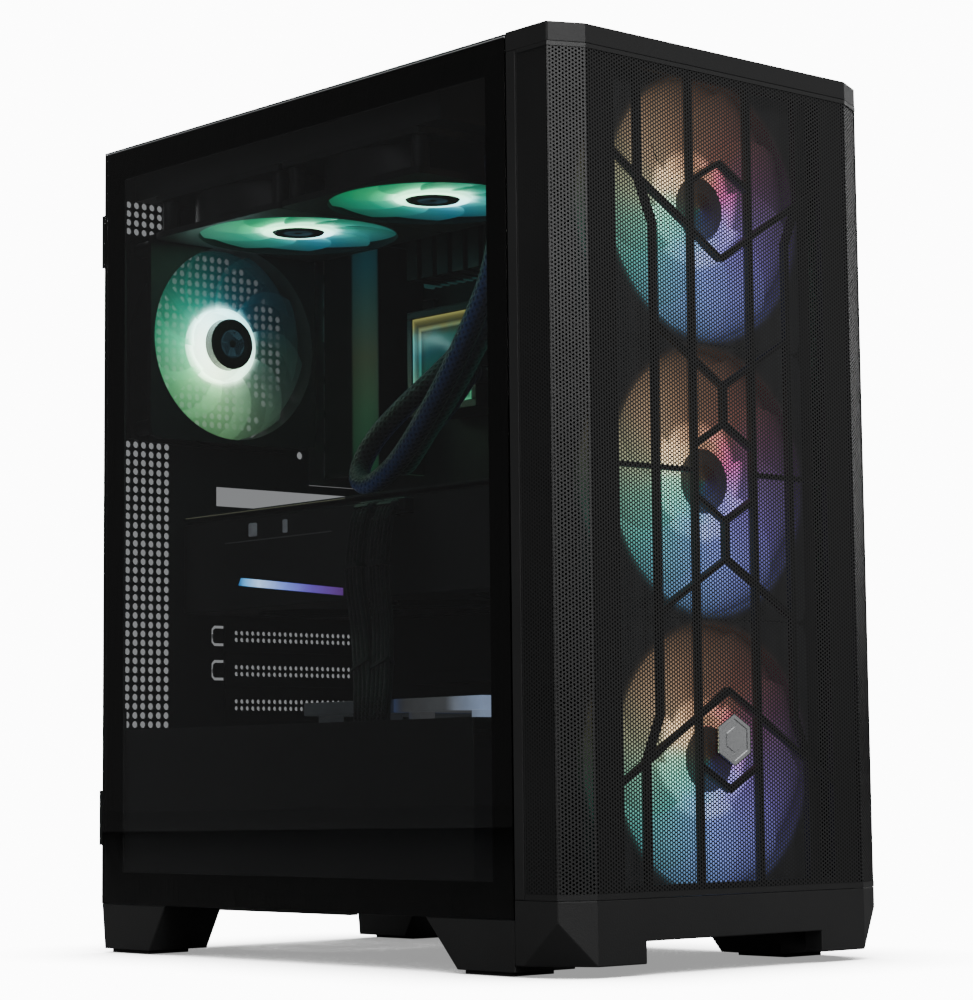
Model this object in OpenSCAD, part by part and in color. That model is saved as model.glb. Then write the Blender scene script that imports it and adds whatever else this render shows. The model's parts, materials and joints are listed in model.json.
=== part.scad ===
// Desktop computer tower: a steel chassis with a glass side, a perforated front,
// seven case fans, a liquid processor cooler, a graphics card and a power supply.
// Origin: centre of the footprint, on the floor. Front faces -Y, glass side faces -X.

/* [Case] */
// Width over the two side panels
case_w = 225; // [222:1:235]
// Depth from the front mesh to the rear panel
case_d = 392; // [390:1:405]
// Height from the floor to the top
case_h = 462; // [460:1:475]
// Height of the chassis floor above the ground
foot_h = 27; // [24:1:30]
// Thickness of the chassis sheet
steel_t = 1; // [0.8:0.1:1.2]

/* [Front panel] */
// Depth of the pull-off front panel
front_depth = 39; // [38:1:42]
// Width of the chamfered corner, across the front
chamfer_w = 18; // [12:1:24]
// Depth of the chamfered corner, along the side
chamfer_d = 8.5; // [6:0.5:12]
// Height of the solid band along the top
cap_h = 10; // [8:1:14]
// Height of the top of the plastic base
base_top = 36.6; // [34:0.2:38]
// Width of a strut of the decorative lattice
strut_w = 3.4; // [3:0.2:8]
// Distance between the lattice's three hexagons
hexagon_pitch = 134; // [130:1:136]

/* [Side panels] */
// Thickness of the glass
glass_t = 4; // [3:0.5:4]
// Width of the steel border behind the glass
glass_border = 18; // [14:1:24]

/* [Fans] */
// Size of the three intake fans
intake_fan = 140; // [120:20:140]
// Size of the exhaust and radiator fans
case_fan = 120; // [92:28:120]
// Thickness of a case fan
fan_t = 25; // [25:1:25]
// Blades on a case fan
blade_count = 9; // [7:1:11]

/* [Boards and cards] */
// Length of the graphics card
card_l = 300; // [240:10:305]
// Thickness of the graphics card
card_t = 57; // [50:1:58]
// Height of the graphics card above the motherboard
card_w = 138; // [120:1:140]

/* [Cooling and power] */
// Thickness of the radiator
radiator_t = 26; // [24:1:27]
// Radius of a coolant hose
hose_r = 6; // [4:0.5:6]
// Length of the power supply
psu_l = 140; // [130:5:160]

/* [Hidden] */
$fn = 48;

// Frame of the whole part
screw_out = 9.1;                                // how far the thumbscrews stand out behind
badge_t = 1.1;
y_front = (badge_t - case_d - screw_out) / 2;   // the front mesh
half_w = case_w / 2;
core_w = case_w - 11.4;                         // chassis, between the side panels
core_x = core_w / 2;
gap = 0.3;                                      // between pieces that slide past each other
pad_t = 2;
skin = 3;                                       // wall of the plastic mouldings
mesh_t = 0.8;                                   // sheet of the front mesh

// Heights
chassis_top = case_h - 2;
shroud_z = foot_h + 98;
slot_pitch = 20.32;
slot_1_z = case_h - 199.4;
rear_fan_z = case_h - 109;
top_fan_z = case_h - 54;                        // lower face of the radiator fans
radiator_z = top_fan_z + fan_t;

// Depths, measured back from the front mesh
chassis_front = front_depth + 0.5;
rear_in = case_d - steel_t;
cooler_depth = 244;                             // middle of the radiator and its fans
top_fan_depths = [for (s = [-1, 1]) cooler_depth + s * (case_fan + gap) / 2];
cooler_x = -half_w + 76.5;                      // radiator and rear fan, away from the board
intake_z = [for (i = [-1:1]) (foot_h + chassis_top) / 2 + i * (intake_fan + gap)];
intake_depth = front_depth - fan_t;

// Motherboard, standing on the tray with its parts towards the glass
board_x = half_w - 31.5;                        // the side that carries the parts
board_t = 1.6;
board_top = slot_1_z + 164;
board_h = 305;
board_l = 244;
board_rear = case_d - 5;
tray_x = board_x + board_t + 6.4;
standoff_rows = [board_top - 10, board_top - 165, board_top - 294];

// Graphics card, hanging in the second slot
card_top = slot_1_z - 12.5;
card_x = board_x - card_w;                      // its edge towards the glass
plug_gap = 20;                                  // between the card's two power plugs
cable_bottom = 160;                             // depth where the first cable passes the shroud
cable_bottom_x = card_x - 38;
cable_slot_x = [cable_bottom_x - 7, cable_bottom_x + 7];
card_front = rear_in - card_l;
card_fan_r = 42;
card_fan_x = (card_x + board_x) / 2 - 3;
card_fan_depths = [for (i = [0:2]) card_front + 55 + i * 93];

// Power supply, on the chassis floor with its fan facing down
psu_x = [-60, 90];
psu_z = [foot_h + 4.5, foot_h + 90.5];
psu_front = rear_in - psu_l;
psu_fan_r = 60;
psu_fan_x = (psu_x[0] + psu_x[1]) / 2;
psu_fan_depth = (psu_front + rear_in) / 2;
filter_x = [-52, 68];
filter_d = [rear_in - 152, rear_in];

// ------------------------------------------------------------------ building blocks

// A box from ranges of x, depth behind the front and z
module block(x, d, z) {
  translate([x[0], y_front + d[0], z[0]]) cube([x[1] - x[0], d[1] - d[0], z[1] - z[0]]);
}

// Children drawn in the plane of the front (x, z), raised from depth d[0] to d[1]
module across_front(d) {
  translate([0, y_front + d[1], 0]) rotate([90, 0, 0]) linear_extrude(d[1] - d[0]) children();
}

// Children drawn as (depth, z) in the plane of a side, raised over a range of x
module along_side(x) {
  translate([x[0], y_front, 0]) rotate([90, 0, 90]) linear_extrude(x[1] - x[0]) children();
}

module square_between(x, z) { translate([x[0], z[0]]) square([x[1] - x[0], z[1] - z[0]]); }

module rod_y(x, z, d, r) {
  translate([x, y_front + d[0], z]) rotate([-90, 0, 0]) cylinder(r = r, h = d[1] - d[0]);
}

module rod_z(x, depth, z, r) {
  translate([x, y_front + depth, z[0]]) cylinder(r = r, h = z[1] - z[0]);
}

module rod_x(x, depth, z, r) {
  translate([x[0], y_front + depth, z]) rotate([0, 90, 0]) cylinder(r = r, h = x[1] - x[0]);
}

// A straight bar of width w from a to b, in two dimensions
module strut(a, b, w) {
  run = b - a;
  translate(a) rotate(atan2(run[1], run[0])) translate([-w / 4, -w / 2]) square([norm(run) + w / 2, w]);
}

module mirrored_x() { children(); mirror([1, 0, 0]) children(); }

// ------------------------------------------------------------------ fans

fan_hub_r = 20;
shaft_r = 1.5;
bearing_r = 1.55;
motor_t = 3;

module round_square(size, r) {
  square([size, size - 2 * r], center = true);
  square([size - 2 * r, size], center = true);
  for (sx = [-1, 1], sy = [-1, 1]) translate([sx, sy] * (size / 2 - r)) circle(r = r);
}

module corner_holes(size) {
  hole = size / 2 - 7.5;
  for (sx = [-1, 1], sy = [-1, 1]) translate([sx, sy] * hole) circle(r = 2.2);
}

// Frame of a fan: air goes in at z = 0 and out at z = fan_t, past the motor's struts
module fan_frame(size) {
  bore = size / 2 - 2.5;
  linear_extrude(fan_t) difference() {
    round_square(size, 5);
    circle(r = bore);
    corner_holes(size);
  }
  translate([0, 0, fan_t - motor_t]) linear_extrude(motor_t) difference() {
    union() {
      circle(r = fan_hub_r - 1);
      for (a = [45, 135]) rotate(a) square([2 * bore + 1, 5], center = true);
    }
    circle(r = bearing_r);
  }
  translate([0, 0, 8]) linear_extrude(fan_t - motor_t - 8) difference() {
    circle(r = 4);
    circle(r = bearing_r);
  }
}

// Hub, shaft and blades, turning about z
module rotor(tip_r, hub_r, deep, blades, chord, pitch) {
  cup = 1.6;
  difference() {
    translate([0, 0, 2]) cylinder(r = hub_r, h = deep);
    translate([0, 0, 2 + cup]) cylinder(r = hub_r - cup, h = deep);
  }
  translate([0, 0, 2 + cup / 2]) cylinder(r = shaft_r, h = deep + 1);
  for (i = [0:blades - 1])
    rotate(i * 360 / blades) translate([hub_r - cup / 2, 0, 2 + deep / 2]) rotate([pitch, 0, 0])
      translate([0, -chord / 2, -0.8]) cube([tip_r - hub_r, chord, 1.6]);
}

module case_fan_rotor(size) {
  rotor(size / 2 - 5.5, fan_hub_r, 18, blade_count, 24, 32);
}

module at_intake(i) {
  translate([0, y_front + intake_depth, intake_z[i]]) rotate([-90, 0, 0]) children();
}

module at_rear_fan() {
  translate([cooler_x, y_front + rear_in - fan_t - gap, rear_fan_z]) rotate([-90, 0, 0]) children();
}

module at_top_fan(i) {
  translate([cooler_x, y_front + top_fan_depths[i], top_fan_z]) children();
}

module front_fan_frames() { color("#1c1d1f") for (i = [0:2]) at_intake(i) fan_frame(intake_fan); }
module front_fan_rotor(i) { color("#d8dfe6") at_intake(i) case_fan_rotor(intake_fan); }
module rear_fan_frame() { color("#1c1d1f") at_rear_fan() fan_frame(case_fan); }
module rear_fan_rotor() { color("#d8efe6") at_rear_fan() case_fan_rotor(case_fan); }
module top_fan_frames() { color("#1c1d1f") for (i = [0:1]) at_top_fan(i) fan_frame(case_fan); }
module top_fan_rotor(i) { color("#d8efe6") at_top_fan(i) case_fan_rotor(case_fan); }

// ------------------------------------------------------------------ chassis

vent_pitch = 10.5;
vent_slot = 4.2;
io_window_x = [board_x - 43, board_x + 1.5];
io_window_z = [slot_1_z + 12.4, slot_1_z + 171];
slot_x = [-24, board_x - 6];
tab_x = -29.3;                                  // middle of the slots' screw tabs
vent_x = [-core_x + 9, -core_x + 39];

// Rows of vent slots inside a round fan opening
module round_vent(r) {
  rows = floor(r / vent_pitch);
  for (i = [-rows:rows]) {
    half = sqrt(r * r - pow(i * vent_pitch, 2)) - 2;
    for (s = [-1, 1])
      translate([s * (half / 2 + 1.5), i * vent_pitch]) square([half - 3, vent_slot], center = true);
  }
}

// The slit around the screw tab of one expansion slot
module tab_slit(z) {
  for (s = [-1, 1]) square_between([tab_x - 4, tab_x + 3.8], [z + s * 5.2 - 0.8, z + s * 5.2 + 0.8]);
  square_between([tab_x - 5.4, tab_x - 3.9], [z - 6, z + 6]);
}

module rear_panel() color("#26282b") across_front([rear_in, case_d]) difference() {
  square_between([-core_x, core_x], [foot_h, chassis_top]);
  translate([cooler_x, rear_fan_z]) round_vent(56);
  translate([cooler_x, rear_fan_z]) corner_holes(case_fan);
  for (z = [shroud_z + 6 : vent_pitch : rear_fan_z - 66]) square_between(vent_x, [z, z + vent_slot]);
  square_between(io_window_x, io_window_z);
  for (i = [0:6]) {
    z = slot_1_z - i * slot_pitch;
    square_between(i == 0 ? [tab_x - 3, slot_x[1]] : slot_x, [z - 8, z + 8]);
    if (i > 0) tab_slit(z);
  }
  square_between([psu_x[0] + 3, psu_x[1] - 3], [psu_z[0] + 3, psu_z[1] - 3]);
  for (z = thumbscrew_z) for (x = [-1, 1]) translate([x * thumbscrew_x, z]) circle(r = 1.8);
}

top_window_x = [cooler_x - 54, cooler_x + 54];
module top_panel() color("#2b2d30") {
  translate([0, 0, chassis_top - steel_t]) linear_extrude(steel_t) difference() {
    panel_between_ends();
    for (depth = top_fan_depths) for (i = [0:3])
      translate([top_window_x[0] + i * 27.5, y_front + depth - 54]) square([24, 108]);
    translate([io_x[0] - gap, y_front + io_depth[0] - gap])
      square([io_x[1] - io_x[0] + 2 * gap, io_depth[1] - io_depth[0] + 2 * gap]);
  }
}

intake_cell = 28;
module bottom_panel() color("#26282b") {
  translate([0, 0, foot_h]) linear_extrude(steel_t) difference() {
    panel_between_ends();
    translate([(filter_x[0] + filter_x[1]) / 2, y_front + psu_fan_depth]) for (i = [0:3], j = [0:3])
      translate([i - 2, j - 2] * intake_cell + [1.5, 1.5]) square(intake_cell - 3);
  }
  // pads under the power supply
  for (x = [psu_x[0] + 4, psu_x[1] - 16], d = [psu_front + 4, rear_in - 16])
    block([x, x + 12], [d, d + 12], [foot_h + steel_t, psu_z[0]]);
  // rails that carry the sliding filter
  for (s = [0, 1]) {
    edge = filter_x[s] + (2 * s - 1) * gap;
    lip = edge + (1 - 2 * s) * 4;
    post = edge + (2 * s - 1) * 2;
    block([min(edge, post), max(edge, post)], filter_d, [foot_h - 5, foot_h]);
    block([min(post, lip), max(post, lip)], filter_d, [foot_h - 5, foot_h - 4]);
  }
}

// Flat outline of the top or bottom panel
module panel_between_ends() {
  translate([-core_x, y_front + chassis_front + steel_t])
    square([core_w, rear_in - chassis_front - steel_t]);
}

module front_chassis_panel() color("#26282b")
  across_front([chassis_front, chassis_front + steel_t]) difference() {
    square_between([-core_x, core_x], [foot_h, chassis_top]);
    for (z = intake_z) translate([0, z]) {
      circle(r = intake_fan / 2 - 4);
      corner_holes(intake_fan);
    }
  }

tray_z = [shroud_z, chassis_top - steel_t];
module motherboard_tray() color("#232528")
  along_side([tray_x, tray_x + steel_t]) difference() {
    square_between([chassis_front + steel_t, rear_in], tray_z);
    // behind the processor, for the cables in front of the board, and along the top
    square_between([225, 345], [board_top - 150, board_top - 40]);
    for (z = [board_top - 110, board_top - 220]) square_between([60, 120], [z, z + 80]);
    square_between([150, 340], [board_top + 2, board_top + 20]);
  }

shroud_x = [-core_x + 1, half_w - 8];
module psu_shroud() color("#232528") {
  difference() {
    block(shroud_x, [74, rear_in], [shroud_z - steel_t, shroud_z]);
    block(cable_slot_x, [cable_bottom - 10, cable_bottom + 24], [shroud_z - 5, shroud_z + 1]);
    // room for the lower edge of the motherboard
    block([board_x - 14, board_x + board_t + 2], [board_rear - board_l - 2, rear_in + 1],
          [shroud_z - 5, shroud_z + 1]);
  }
  block([shroud_x[0], shroud_x[0] + steel_t], [74, rear_in], [foot_h + steel_t, shroud_z - steel_t]);
}

// Feet under the chassis: tapered blocks on rubber pads
module front_foot() {
  translate([-half_w + 40, 0, 0]) rotate([90, 0, -90]) linear_extrude(39.8)
    polygon([
      [-y_front - front_depth - gap, foot_h], [-y_front - front_depth - gap, pad_t],
      [-y_front - 82, pad_t], [-y_front - 106, foot_h]
    ]);
}

module rear_foot() {
  translate([-half_w + 40, 0, 0]) rotate([90, 0, -90]) linear_extrude(39.8)
    polygon([
      [-y_front - 330, foot_h], [-y_front - 345, pad_t],
      [-y_front - 389, pad_t], [-y_front - case_d, foot_h]
    ]);
}

module front_feet() { color("#3a3b3d") mirrored_x() front_foot(); }
module rear_feet() { color("#3a3b3d") mirrored_x() rear_foot(); }
module rubber_pads() { color("#161616") mirrored_x() {
  block([-half_w + 3, -half_w + 30], [44, 79], [0, pad_t]);
  block([-half_w + 3, -half_w + 30], [349, 385], [0, pad_t]);
} }

// ------------------------------------------------------------------ front panel

// Outline of the front panel seen from above, inset by e
module front_outline(e) {
  back = y_front + front_depth;
  cut = e * 0.6;
  polygon([
    [-half_w + e, back], [-half_w + e, y_front + chamfer_d + cut],
    [-half_w + chamfer_w + cut, y_front + e], [half_w - chamfer_w - cut, y_front + e],
    [half_w - e, y_front + chamfer_d + cut], [half_w - e, back]
  ]);
}

module front_cap() color("#454648") {
  translate([0, 0, case_h - skin]) linear_extrude(skin) front_outline(0);
  translate([0, 0, case_h - cap_h]) linear_extrude(cap_h - skin) difference() {
    front_outline(0);
    front_outline(skin);
  }
}

strip_d = [front_depth - 7.2, front_depth];
module front_side_strips() color("#3f4043") mirrored_x() {
  block([-half_w, -half_w + skin], strip_d, [base_top + 0.1, case_h - cap_h - 0.1]);
  // a lip that runs forward inside the mesh
  block([-half_w + mesh_t + 0.2, -half_w + mesh_t + 1.4], [chamfer_d + 0.6, strip_d[0] + 1],
        [base_top + 0.1, case_h - cap_h - 0.1]);
}

base_floor = 5.3;
notch_x = 62;
notch_z = 16;

// Slanted cut across a lower corner of the base, on the plane through three points
module base_corner() {
  a = [-half_w, y_front + chamfer_d, base_top - 10.5];
  b = [-half_w, y_front + 33, base_floor];
  c = [-half_w + chamfer_w, y_front, base_floor];
  n = unit(cross(b - a, c - a));
  translate(a) rotate([0, acos(n[2]), atan2(n[1], n[0])]) translate([-50, -50, 0]) cube([100, 100, 40]);
}

module front_base() color("#3f4043") difference() {
  translate([0, 0, base_floor]) linear_extrude(base_top - base_floor) difference() {
    front_outline(0);
    front_outline(12);
  }
  block([-notch_x, notch_x], [-1, front_depth + 1], [base_floor - 1, notch_z]);
  mirrored_x() base_corner();
}

// A folded perforated sheet around the front and the corners
module front_mesh() color("#55575a")
  translate([0, 0, base_top + 0.1]) linear_extrude(case_h - cap_h - base_top - 0.2) difference() {
    front_outline(0);
    front_outline(mesh_t);
    translate([-half_w - 1, y_front + strip_d[0] - 0.1]) square([case_w + 2, front_depth]);
  }

lattice_d = [1.2, 4.8];
hexagon_r = 24.8;
rail_x = 21.2;                                  // bars along the hexagons' sides
bend_x = [48, 57.5];                            // the outer bar, near the middle and the ends
window_x = 74.5;
middle_z = (foot_h + case_h) / 2 + 2;
hex_strut = strut_w - 0.6;                      // bars of the hexagons and of the arms

// Upper right quarter of the lattice, about its centre
module lattice_quarter() {
  top = 204;
  hex_side = hexagon_r * sqrt(3) / 2;
  knee = [hexagon_pitch - 12, hexagon_pitch + 10];
  strut([rail_x, 0], [rail_x, top], strut_w);
  strut([bend_x[0], 0], [bend_x[0], knee[0]], strut_w);
  strut([bend_x[0], knee[0]], [bend_x[1], knee[1]], strut_w);
  strut([bend_x[1], knee[1]], [bend_x[1], top], strut_w);
  strut([rail_x, 0], [window_x + 2, 0], strut_w - 1);
  // the middle hexagon and the fork above it
  strut([hex_side, hexagon_r / 2], [0, hexagon_r], hex_strut);
  strut([0, hexagon_r], [0, 43.5], hex_strut);
  strut([0, 43.5], [bend_x[0], 72], hex_strut);
  // the upper hexagon and the long arm through its lowest corner
  strut([hex_side, hexagon_pitch + hexagon_r / 2], [0, hexagon_pitch + hexagon_r], hex_strut);
  strut([0, hexagon_pitch - hexagon_r], [window_x + 2, hexagon_pitch + 22], hex_strut);
}

module front_lattice() color("#1f2022") across_front(lattice_d) {
  difference() {
    square_between([-92, 92], [base_top + 2, case_h - cap_h - 2]);
    square_between([-window_x, window_x], [base_top + 6, case_h - cap_h - 6]);
  }
  translate([0, middle_z]) for (sx = [0, 1], sz = [0, 1])
    mirror([sx, 0]) mirror([0, sz]) lattice_quarter();
}

// Plain hexagonal badge on the lowest hexagon
module front_badge() color("#a9abad")
  translate([0, y_front, middle_z - hexagon_pitch]) rotate([90, 30, 0])
    cylinder(r = 13, h = badge_t, $fn = 6);

// ------------------------------------------------------------------ side panels

thumbscrew_z = [131, case_h - 84];
thumbscrew_x = core_x - 6;
panel_gap = 0.4;
glass_z = [foot_h, case_h - 0.5];
glass_d = [front_depth + 0.4, case_d];

module glass_sheet() color([0.1, 0.11, 0.12, 0.45])
  block([-half_w, -half_w + glass_t], glass_d, glass_z);

// Steel border bonded to the glass, with finger tabs and screw ears behind
module glass_frame() color("#1b1c1e") {
  frame_x = [-half_w + glass_t, -half_w + glass_t + 1.4];
  difference() {
    block(frame_x, [glass_d[0], case_d + 0.6], [glass_z[0], glass_z[1] - 0.5]);
    block([frame_x[0] - 1, frame_x[1] + 1], [glass_d[0] + glass_border, glass_d[1] - glass_border],
          [glass_z[0] + glass_border, glass_z[1] - glass_border]);
  }
  for (z = [60, case_h - 68]) block([-half_w + 1, frame_x[1]], [case_d + 0.1, case_d + 4], [z, z + 31]);
  screw_ears(-1, frame_x[0]);
}

// Ears behind the rear panel that hold the thumbscrews of one side
module screw_ears(side, edge) difference() {
  far = side * (core_x - 13);
  for (z = thumbscrew_z)
    block([min(edge, far), max(edge, far)], [case_d + 0.1, case_d + 1.1], [z - 7, z + 7]);
  for (z = thumbscrew_z) rod_y(side * thumbscrew_x, z, [case_d, case_d + 2], 1.9);
}

// Captive thumbscrews: head, collar and thread
module thumbscrews(side) {
  for (z = thumbscrew_z) {
    rod_y(side * thumbscrew_x, z, [case_d + 1.1, case_d + 2.2], 4);
    rod_y(side * thumbscrew_x, z, [case_d + 2.1, case_d + screw_out], 5);
    rod_y(side * thumbscrew_x, z, [case_d - 5, case_d + 1.2], 1.6);
  }
}

module glass_panel_screws() { color("#303234") thumbscrews(-1); }
module right_panel_screws() { color("#303234") thumbscrews(1); }

module right_side_panel() color("#2b2d30") {
  block([half_w - steel_t, half_w], [glass_d[0], case_d + 0.6], glass_z);
  for (z = [glass_z[0] + 0.2, glass_z[1] - 1.4])
    block([core_x + panel_gap, half_w - steel_t], [glass_d[0] + 4, case_d - 4], [z, z + 1.2]);
  screw_ears(1, half_w - steel_t);
}

// ------------------------------------------------------------------ motherboard

module motherboard() color("#1d2023") {
  difference() {
    block([board_x, board_x + board_t], [board_rear - board_l, board_rear],
          [board_top - board_h, board_top]);
    for (z = standoff_rows, d = standoff_depths)
      rod_x([board_x - 1, board_x + board_t + 1], d, z, 1.7);
  }
  // processor socket, three card slots, memory slots and the main power socket
  block([board_x - 6, board_x], [socket_depth - 24, socket_depth + 24], [socket_z - 24, socket_z + 24]);
  for (i = [1, 3, 5])
    block([board_x - 9, board_x], [board_rear - 140, board_rear - 51],
          [slot_1_z - i * slot_pitch - 9.4, slot_1_z - i * slot_pitch - 1.9]);
  for (i = [0:3])
    block([board_x - 5, board_x], [ram_depth - i * 9.5 - 3.4, ram_depth - i * 9.5 + 3.4],
          [socket_z - 62, socket_z + 70]);
  block([board_x - 12, board_x], [board_rear - board_l, board_rear - board_l + 10],
        [socket_z - 40, socket_z + 12]);
}

standoff_depths = [board_rear - 10, board_rear - 133, board_rear - 237];
socket_depth = 272;
socket_z = case_h - 122;
ram_depth = 222;

module motherboard_standoffs() color("#b08d4a") for (z = standoff_rows, d = standoff_depths)
  rod_x([board_x + board_t, tray_x], d, z, 3);

// Tall cover over the rear connectors, and the connectors behind it
module io_cover() color("#2c3236") {
  block([board_x - 36, board_x - 34], [331, board_rear - 3], [slot_1_z + 16, board_top - 10]);
  block([board_x - 34.1, board_x], [331, 334], [slot_1_z + 16, board_top - 10]);
}

module io_ports() color("#8d9194") {
  for (i = [0:6]) {
    z = io_window_z[0] + 6 + i * 21;
    block([board_x - 31, board_x], [board_rear - 22, case_d + 0.5], [z, z + 16]);
  }
  block([io_window_x[0] + gap, io_window_x[1] - gap], [rear_in + 0.2, case_d - 0.1],
        [io_window_z[0] + gap, io_window_z[1] - gap]);
}

module heatsinks() color("#34383b") {
  // two rows of fins beside the processor and one plate over the chipset
  for (i = [0:5]) block([board_x - 28, board_x], [234 + i * 14, 244 + i * 14],
                        [board_top - 34, board_top - 8]);
  block([board_x - 4, board_x], [234, 314], [board_top - 34, board_top - 8]);
  block([board_x - 7, board_x], [158, 228], [board_top - 262, board_top - 205]);
}

module ram_modules() color("#222427") for (i = [0, 2])
  block([board_x - 40, board_x - 5.1], [ram_depth - i * 9.5 - 3, ram_depth - i * 9.5 + 3],
        [socket_z - 60, socket_z + 68]);

// ------------------------------------------------------------------ cooler

pump_half = 31;
pump_x = [board_x - 36, board_x - 6];
fitting = [pump_x[0] - 7, socket_depth - 37];   // where the hoses leave the pump's elbows
port_z = [socket_z + 9, socket_z - 13];         // the two hose fittings of the pump
module pump_block() color("#1c1f22") {
  block(pump_x, [socket_depth - pump_half, socket_depth + pump_half],
        [socket_z - pump_half, socket_z + pump_half]);
  for (z = port_z) {
    rod_y(fitting[0] + 9, z, [fitting[1] - 5, socket_depth - pump_half + 1], 5);
    rod_x([fitting[0], fitting[0] + 9], fitting[1], z, 5);
  }
}

tank_l = 18;
radiator_d = [cooler_depth - 138, cooler_depth + 138];
radiator_ports = [cooler_x - 16, cooler_x + 16];
module radiator() color("#17181a") {
  for (d = [radiator_d[0], radiator_d[1] - tank_l])
    block([cooler_x - 60, cooler_x + 60], [d, d + tank_l], [radiator_z, radiator_z + radiator_t]);
  core = [radiator_d[0] + tank_l, radiator_d[1] - tank_l];
  for (s = [-1, 1]) block([cooler_x + s * 59 - 1, cooler_x + s * 59 + 1], core,
                          [radiator_z, radiator_z + radiator_t]);
  // flat tubes along the core, with the fins as one thin layer between each two
  for (i = [-7:7]) block([cooler_x + i * 7.6 - 1, cooler_x + i * 7.6 + 1], core,
                         [radiator_z + 3, radiator_z + radiator_t - 3]);
  for (d = [core[0] + 8 : 24 : core[1] - 4]) block([cooler_x - 59, cooler_x + 59], [d, d + 0.6],
                         [radiator_z + 4, radiator_z + radiator_t - 4]);
  for (x = radiator_ports) rod_z(x, radiator_d[0] + 7, [radiator_z - 8, radiator_z + 1], 5);
}

// Points of a hose as [x, depth, z], from the pump round to the radiator
outer_hose = [
  [fitting[0], fitting[1], port_z[0]], [fitting[0] - 4, fitting[1], port_z[0]],
  [28, 229, 346], [20, 221, 341], [10, 219, 332], [3, 228, 321],
  [-2, 250, 306], [-4, 272, 291], [-6, 284, 276], [-12, 278, 265], [-18, 258, 262],
  [-22, 232, 272], [-26, 204, 292], [-30, 172, 322], [-36, 138, 360], [-46, 116, 392],
  [radiator_ports[0], radiator_d[0] + 7, 412], [radiator_ports[0], radiator_d[0] + 7, radiator_z - 8]
];
inner_hose = [
  [fitting[0], fitting[1], port_z[1]], [fitting[0] - 4, fitting[1], port_z[1]],
  [29, 231, 325], [22, 227, 319], [16, 228, 311], [14, 238, 301],
  [11, 250, 291], [7, 257, 282], [1, 257, 274], [-4, 245, 274], [-8, 222, 290],
  [-10, 196, 312], [-12, 168, 340], [-14, 136, 370], [-18, 115, 394],
  [radiator_ports[1], radiator_d[0] + 7, 412], [radiator_ports[1], radiator_d[0] + 7, radiator_z - 8]
];

// A point of a smooth curve through four points, between the middle two
function curve(p, q, r, s, t) = 0.5 * (2 * q + (r - p) * t + (2 * p - 5 * q + 4 * r - s) * t * t
  + (3 * q - p - 3 * r + s) * t * t * t);
function smooth(pts, n) = [
  for (i = [0 : len(pts) - 2]) for (k = [0 : n - 1])
    curve(pts[max(i - 1, 0)], pts[i], pts[i + 1], pts[min(i + 2, len(pts) - 1)], k / n),
  pts[len(pts) - 1]
];
function unit(v) = v / norm(v);
// Direction across the hose, carried from ring to ring without twisting
function across(dirs, i, last) = i == 0 ? last : let (v = across(dirs, i - 1, last))
  unit(v - dirs[i] * (v * dirs[i]));

// A tube of radius r along a smoothed route, as one closed solid with square ends
module tube(route, steps, r, sides, start) {
  pts = smooth(route, steps);
  n = len(pts);
  last = len(route) - 1;
  dirs = [
    unit(route[1] - route[0]),
    for (i = [1 : n - 2]) unit(pts[i + 1] - pts[i - 1]),
    unit(route[last] - route[last - 1])
  ];
  rings = [for (i = [0 : n - 1]) let (u = across(dirs, i, start), v = cross(dirs[i], u))
    for (k = [0 : sides - 1]) pts[i] + r * (u * cos(k * 360 / sides) + v * sin(k * 360 / sides))];
  polyhedron(
    points = rings,
    faces = concat(
      [[for (k = [0 : sides - 1]) k]],
      [for (i = [0 : n - 2], k = [0 : sides - 1]) let (a = i * sides, j = (k + 1) % sides)
        [a + k, a + sides + k, a + sides + j, a + j]],
      [[for (k = [sides - 1 : -1 : 0]) (n - 1) * sides + k]]
    ),
    convexity = 6
  );
}

module coolant_hoses() color("#141518") translate([0, y_front, 0]) {
  tube(outer_hose, 2, hose_r, 12, [0, 0, 1]);
  tube(inner_hose, 2, hose_r, 12, [0, 0, 1]);
}

// ------------------------------------------------------------------ graphics card

gpu_shell = 2;
plug_d = [178, 196];                            // depth of the first power plug
gpu_bottom = card_top - card_t;
module gpu_shroud() color("#16181a") difference() {
  block([card_x, board_x - 14], [card_front, rear_in - 3], [gpu_bottom, card_top - 5]);
  block([card_x + gpu_shell, board_x - 14 - gpu_shell], [card_front + gpu_shell, rear_in - 3 - gpu_shell],
        [gpu_bottom + gpu_shell, card_top]);
  for (d = card_fan_depths) rod_z(card_fan_x, d, [gpu_bottom - 1, gpu_bottom + 3], card_fan_r + 1.5);
  along_side([card_x - 1, card_x + gpu_shell + 1]) light_outline();
  block([card_x - 1, card_x + gpu_shell + 1], [plug_d[0] - 1, plug_d[1] + plug_gap + 1],
        [card_top - 14, card_top]);
}

// The slanted light bar on the card's edge: pointed at its high rear end
light_d = [rear_in - 153, rear_in - 56];
light_z = [card_top - 54.4, card_top - 43.2];
light_t = 4.2;
module light_outline() polygon([
  [light_d[0], light_z[0]], [light_d[1], light_z[1]], [light_d[1] - 2.5, light_z[1] + light_t],
  [light_d[0], light_z[0] + light_t]
]);
module gpu_light_bar() color("#8fa8ff")
  along_side([card_x + 0.4, card_x + gpu_shell + 1]) offset(delta = -0.1) light_outline();

module gpu_backplate() color("#2a2c2f")
  block([card_x, board_x - 12], [card_front, rear_in - 3], [card_top - 1.5, card_top]);

module gpu_board() color("#101412") {
  block([card_x + 3, board_x - 9.1], [card_front + 12, rear_in - 3], [card_top - 4.6, card_top - 3]);
  // the card's two power sockets
  for (i = [0:1])
    block([card_x + 4, card_x + 16], plug_d + [i, i] * plug_gap, [card_top - 13, card_top - 4.6]);
}

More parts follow.
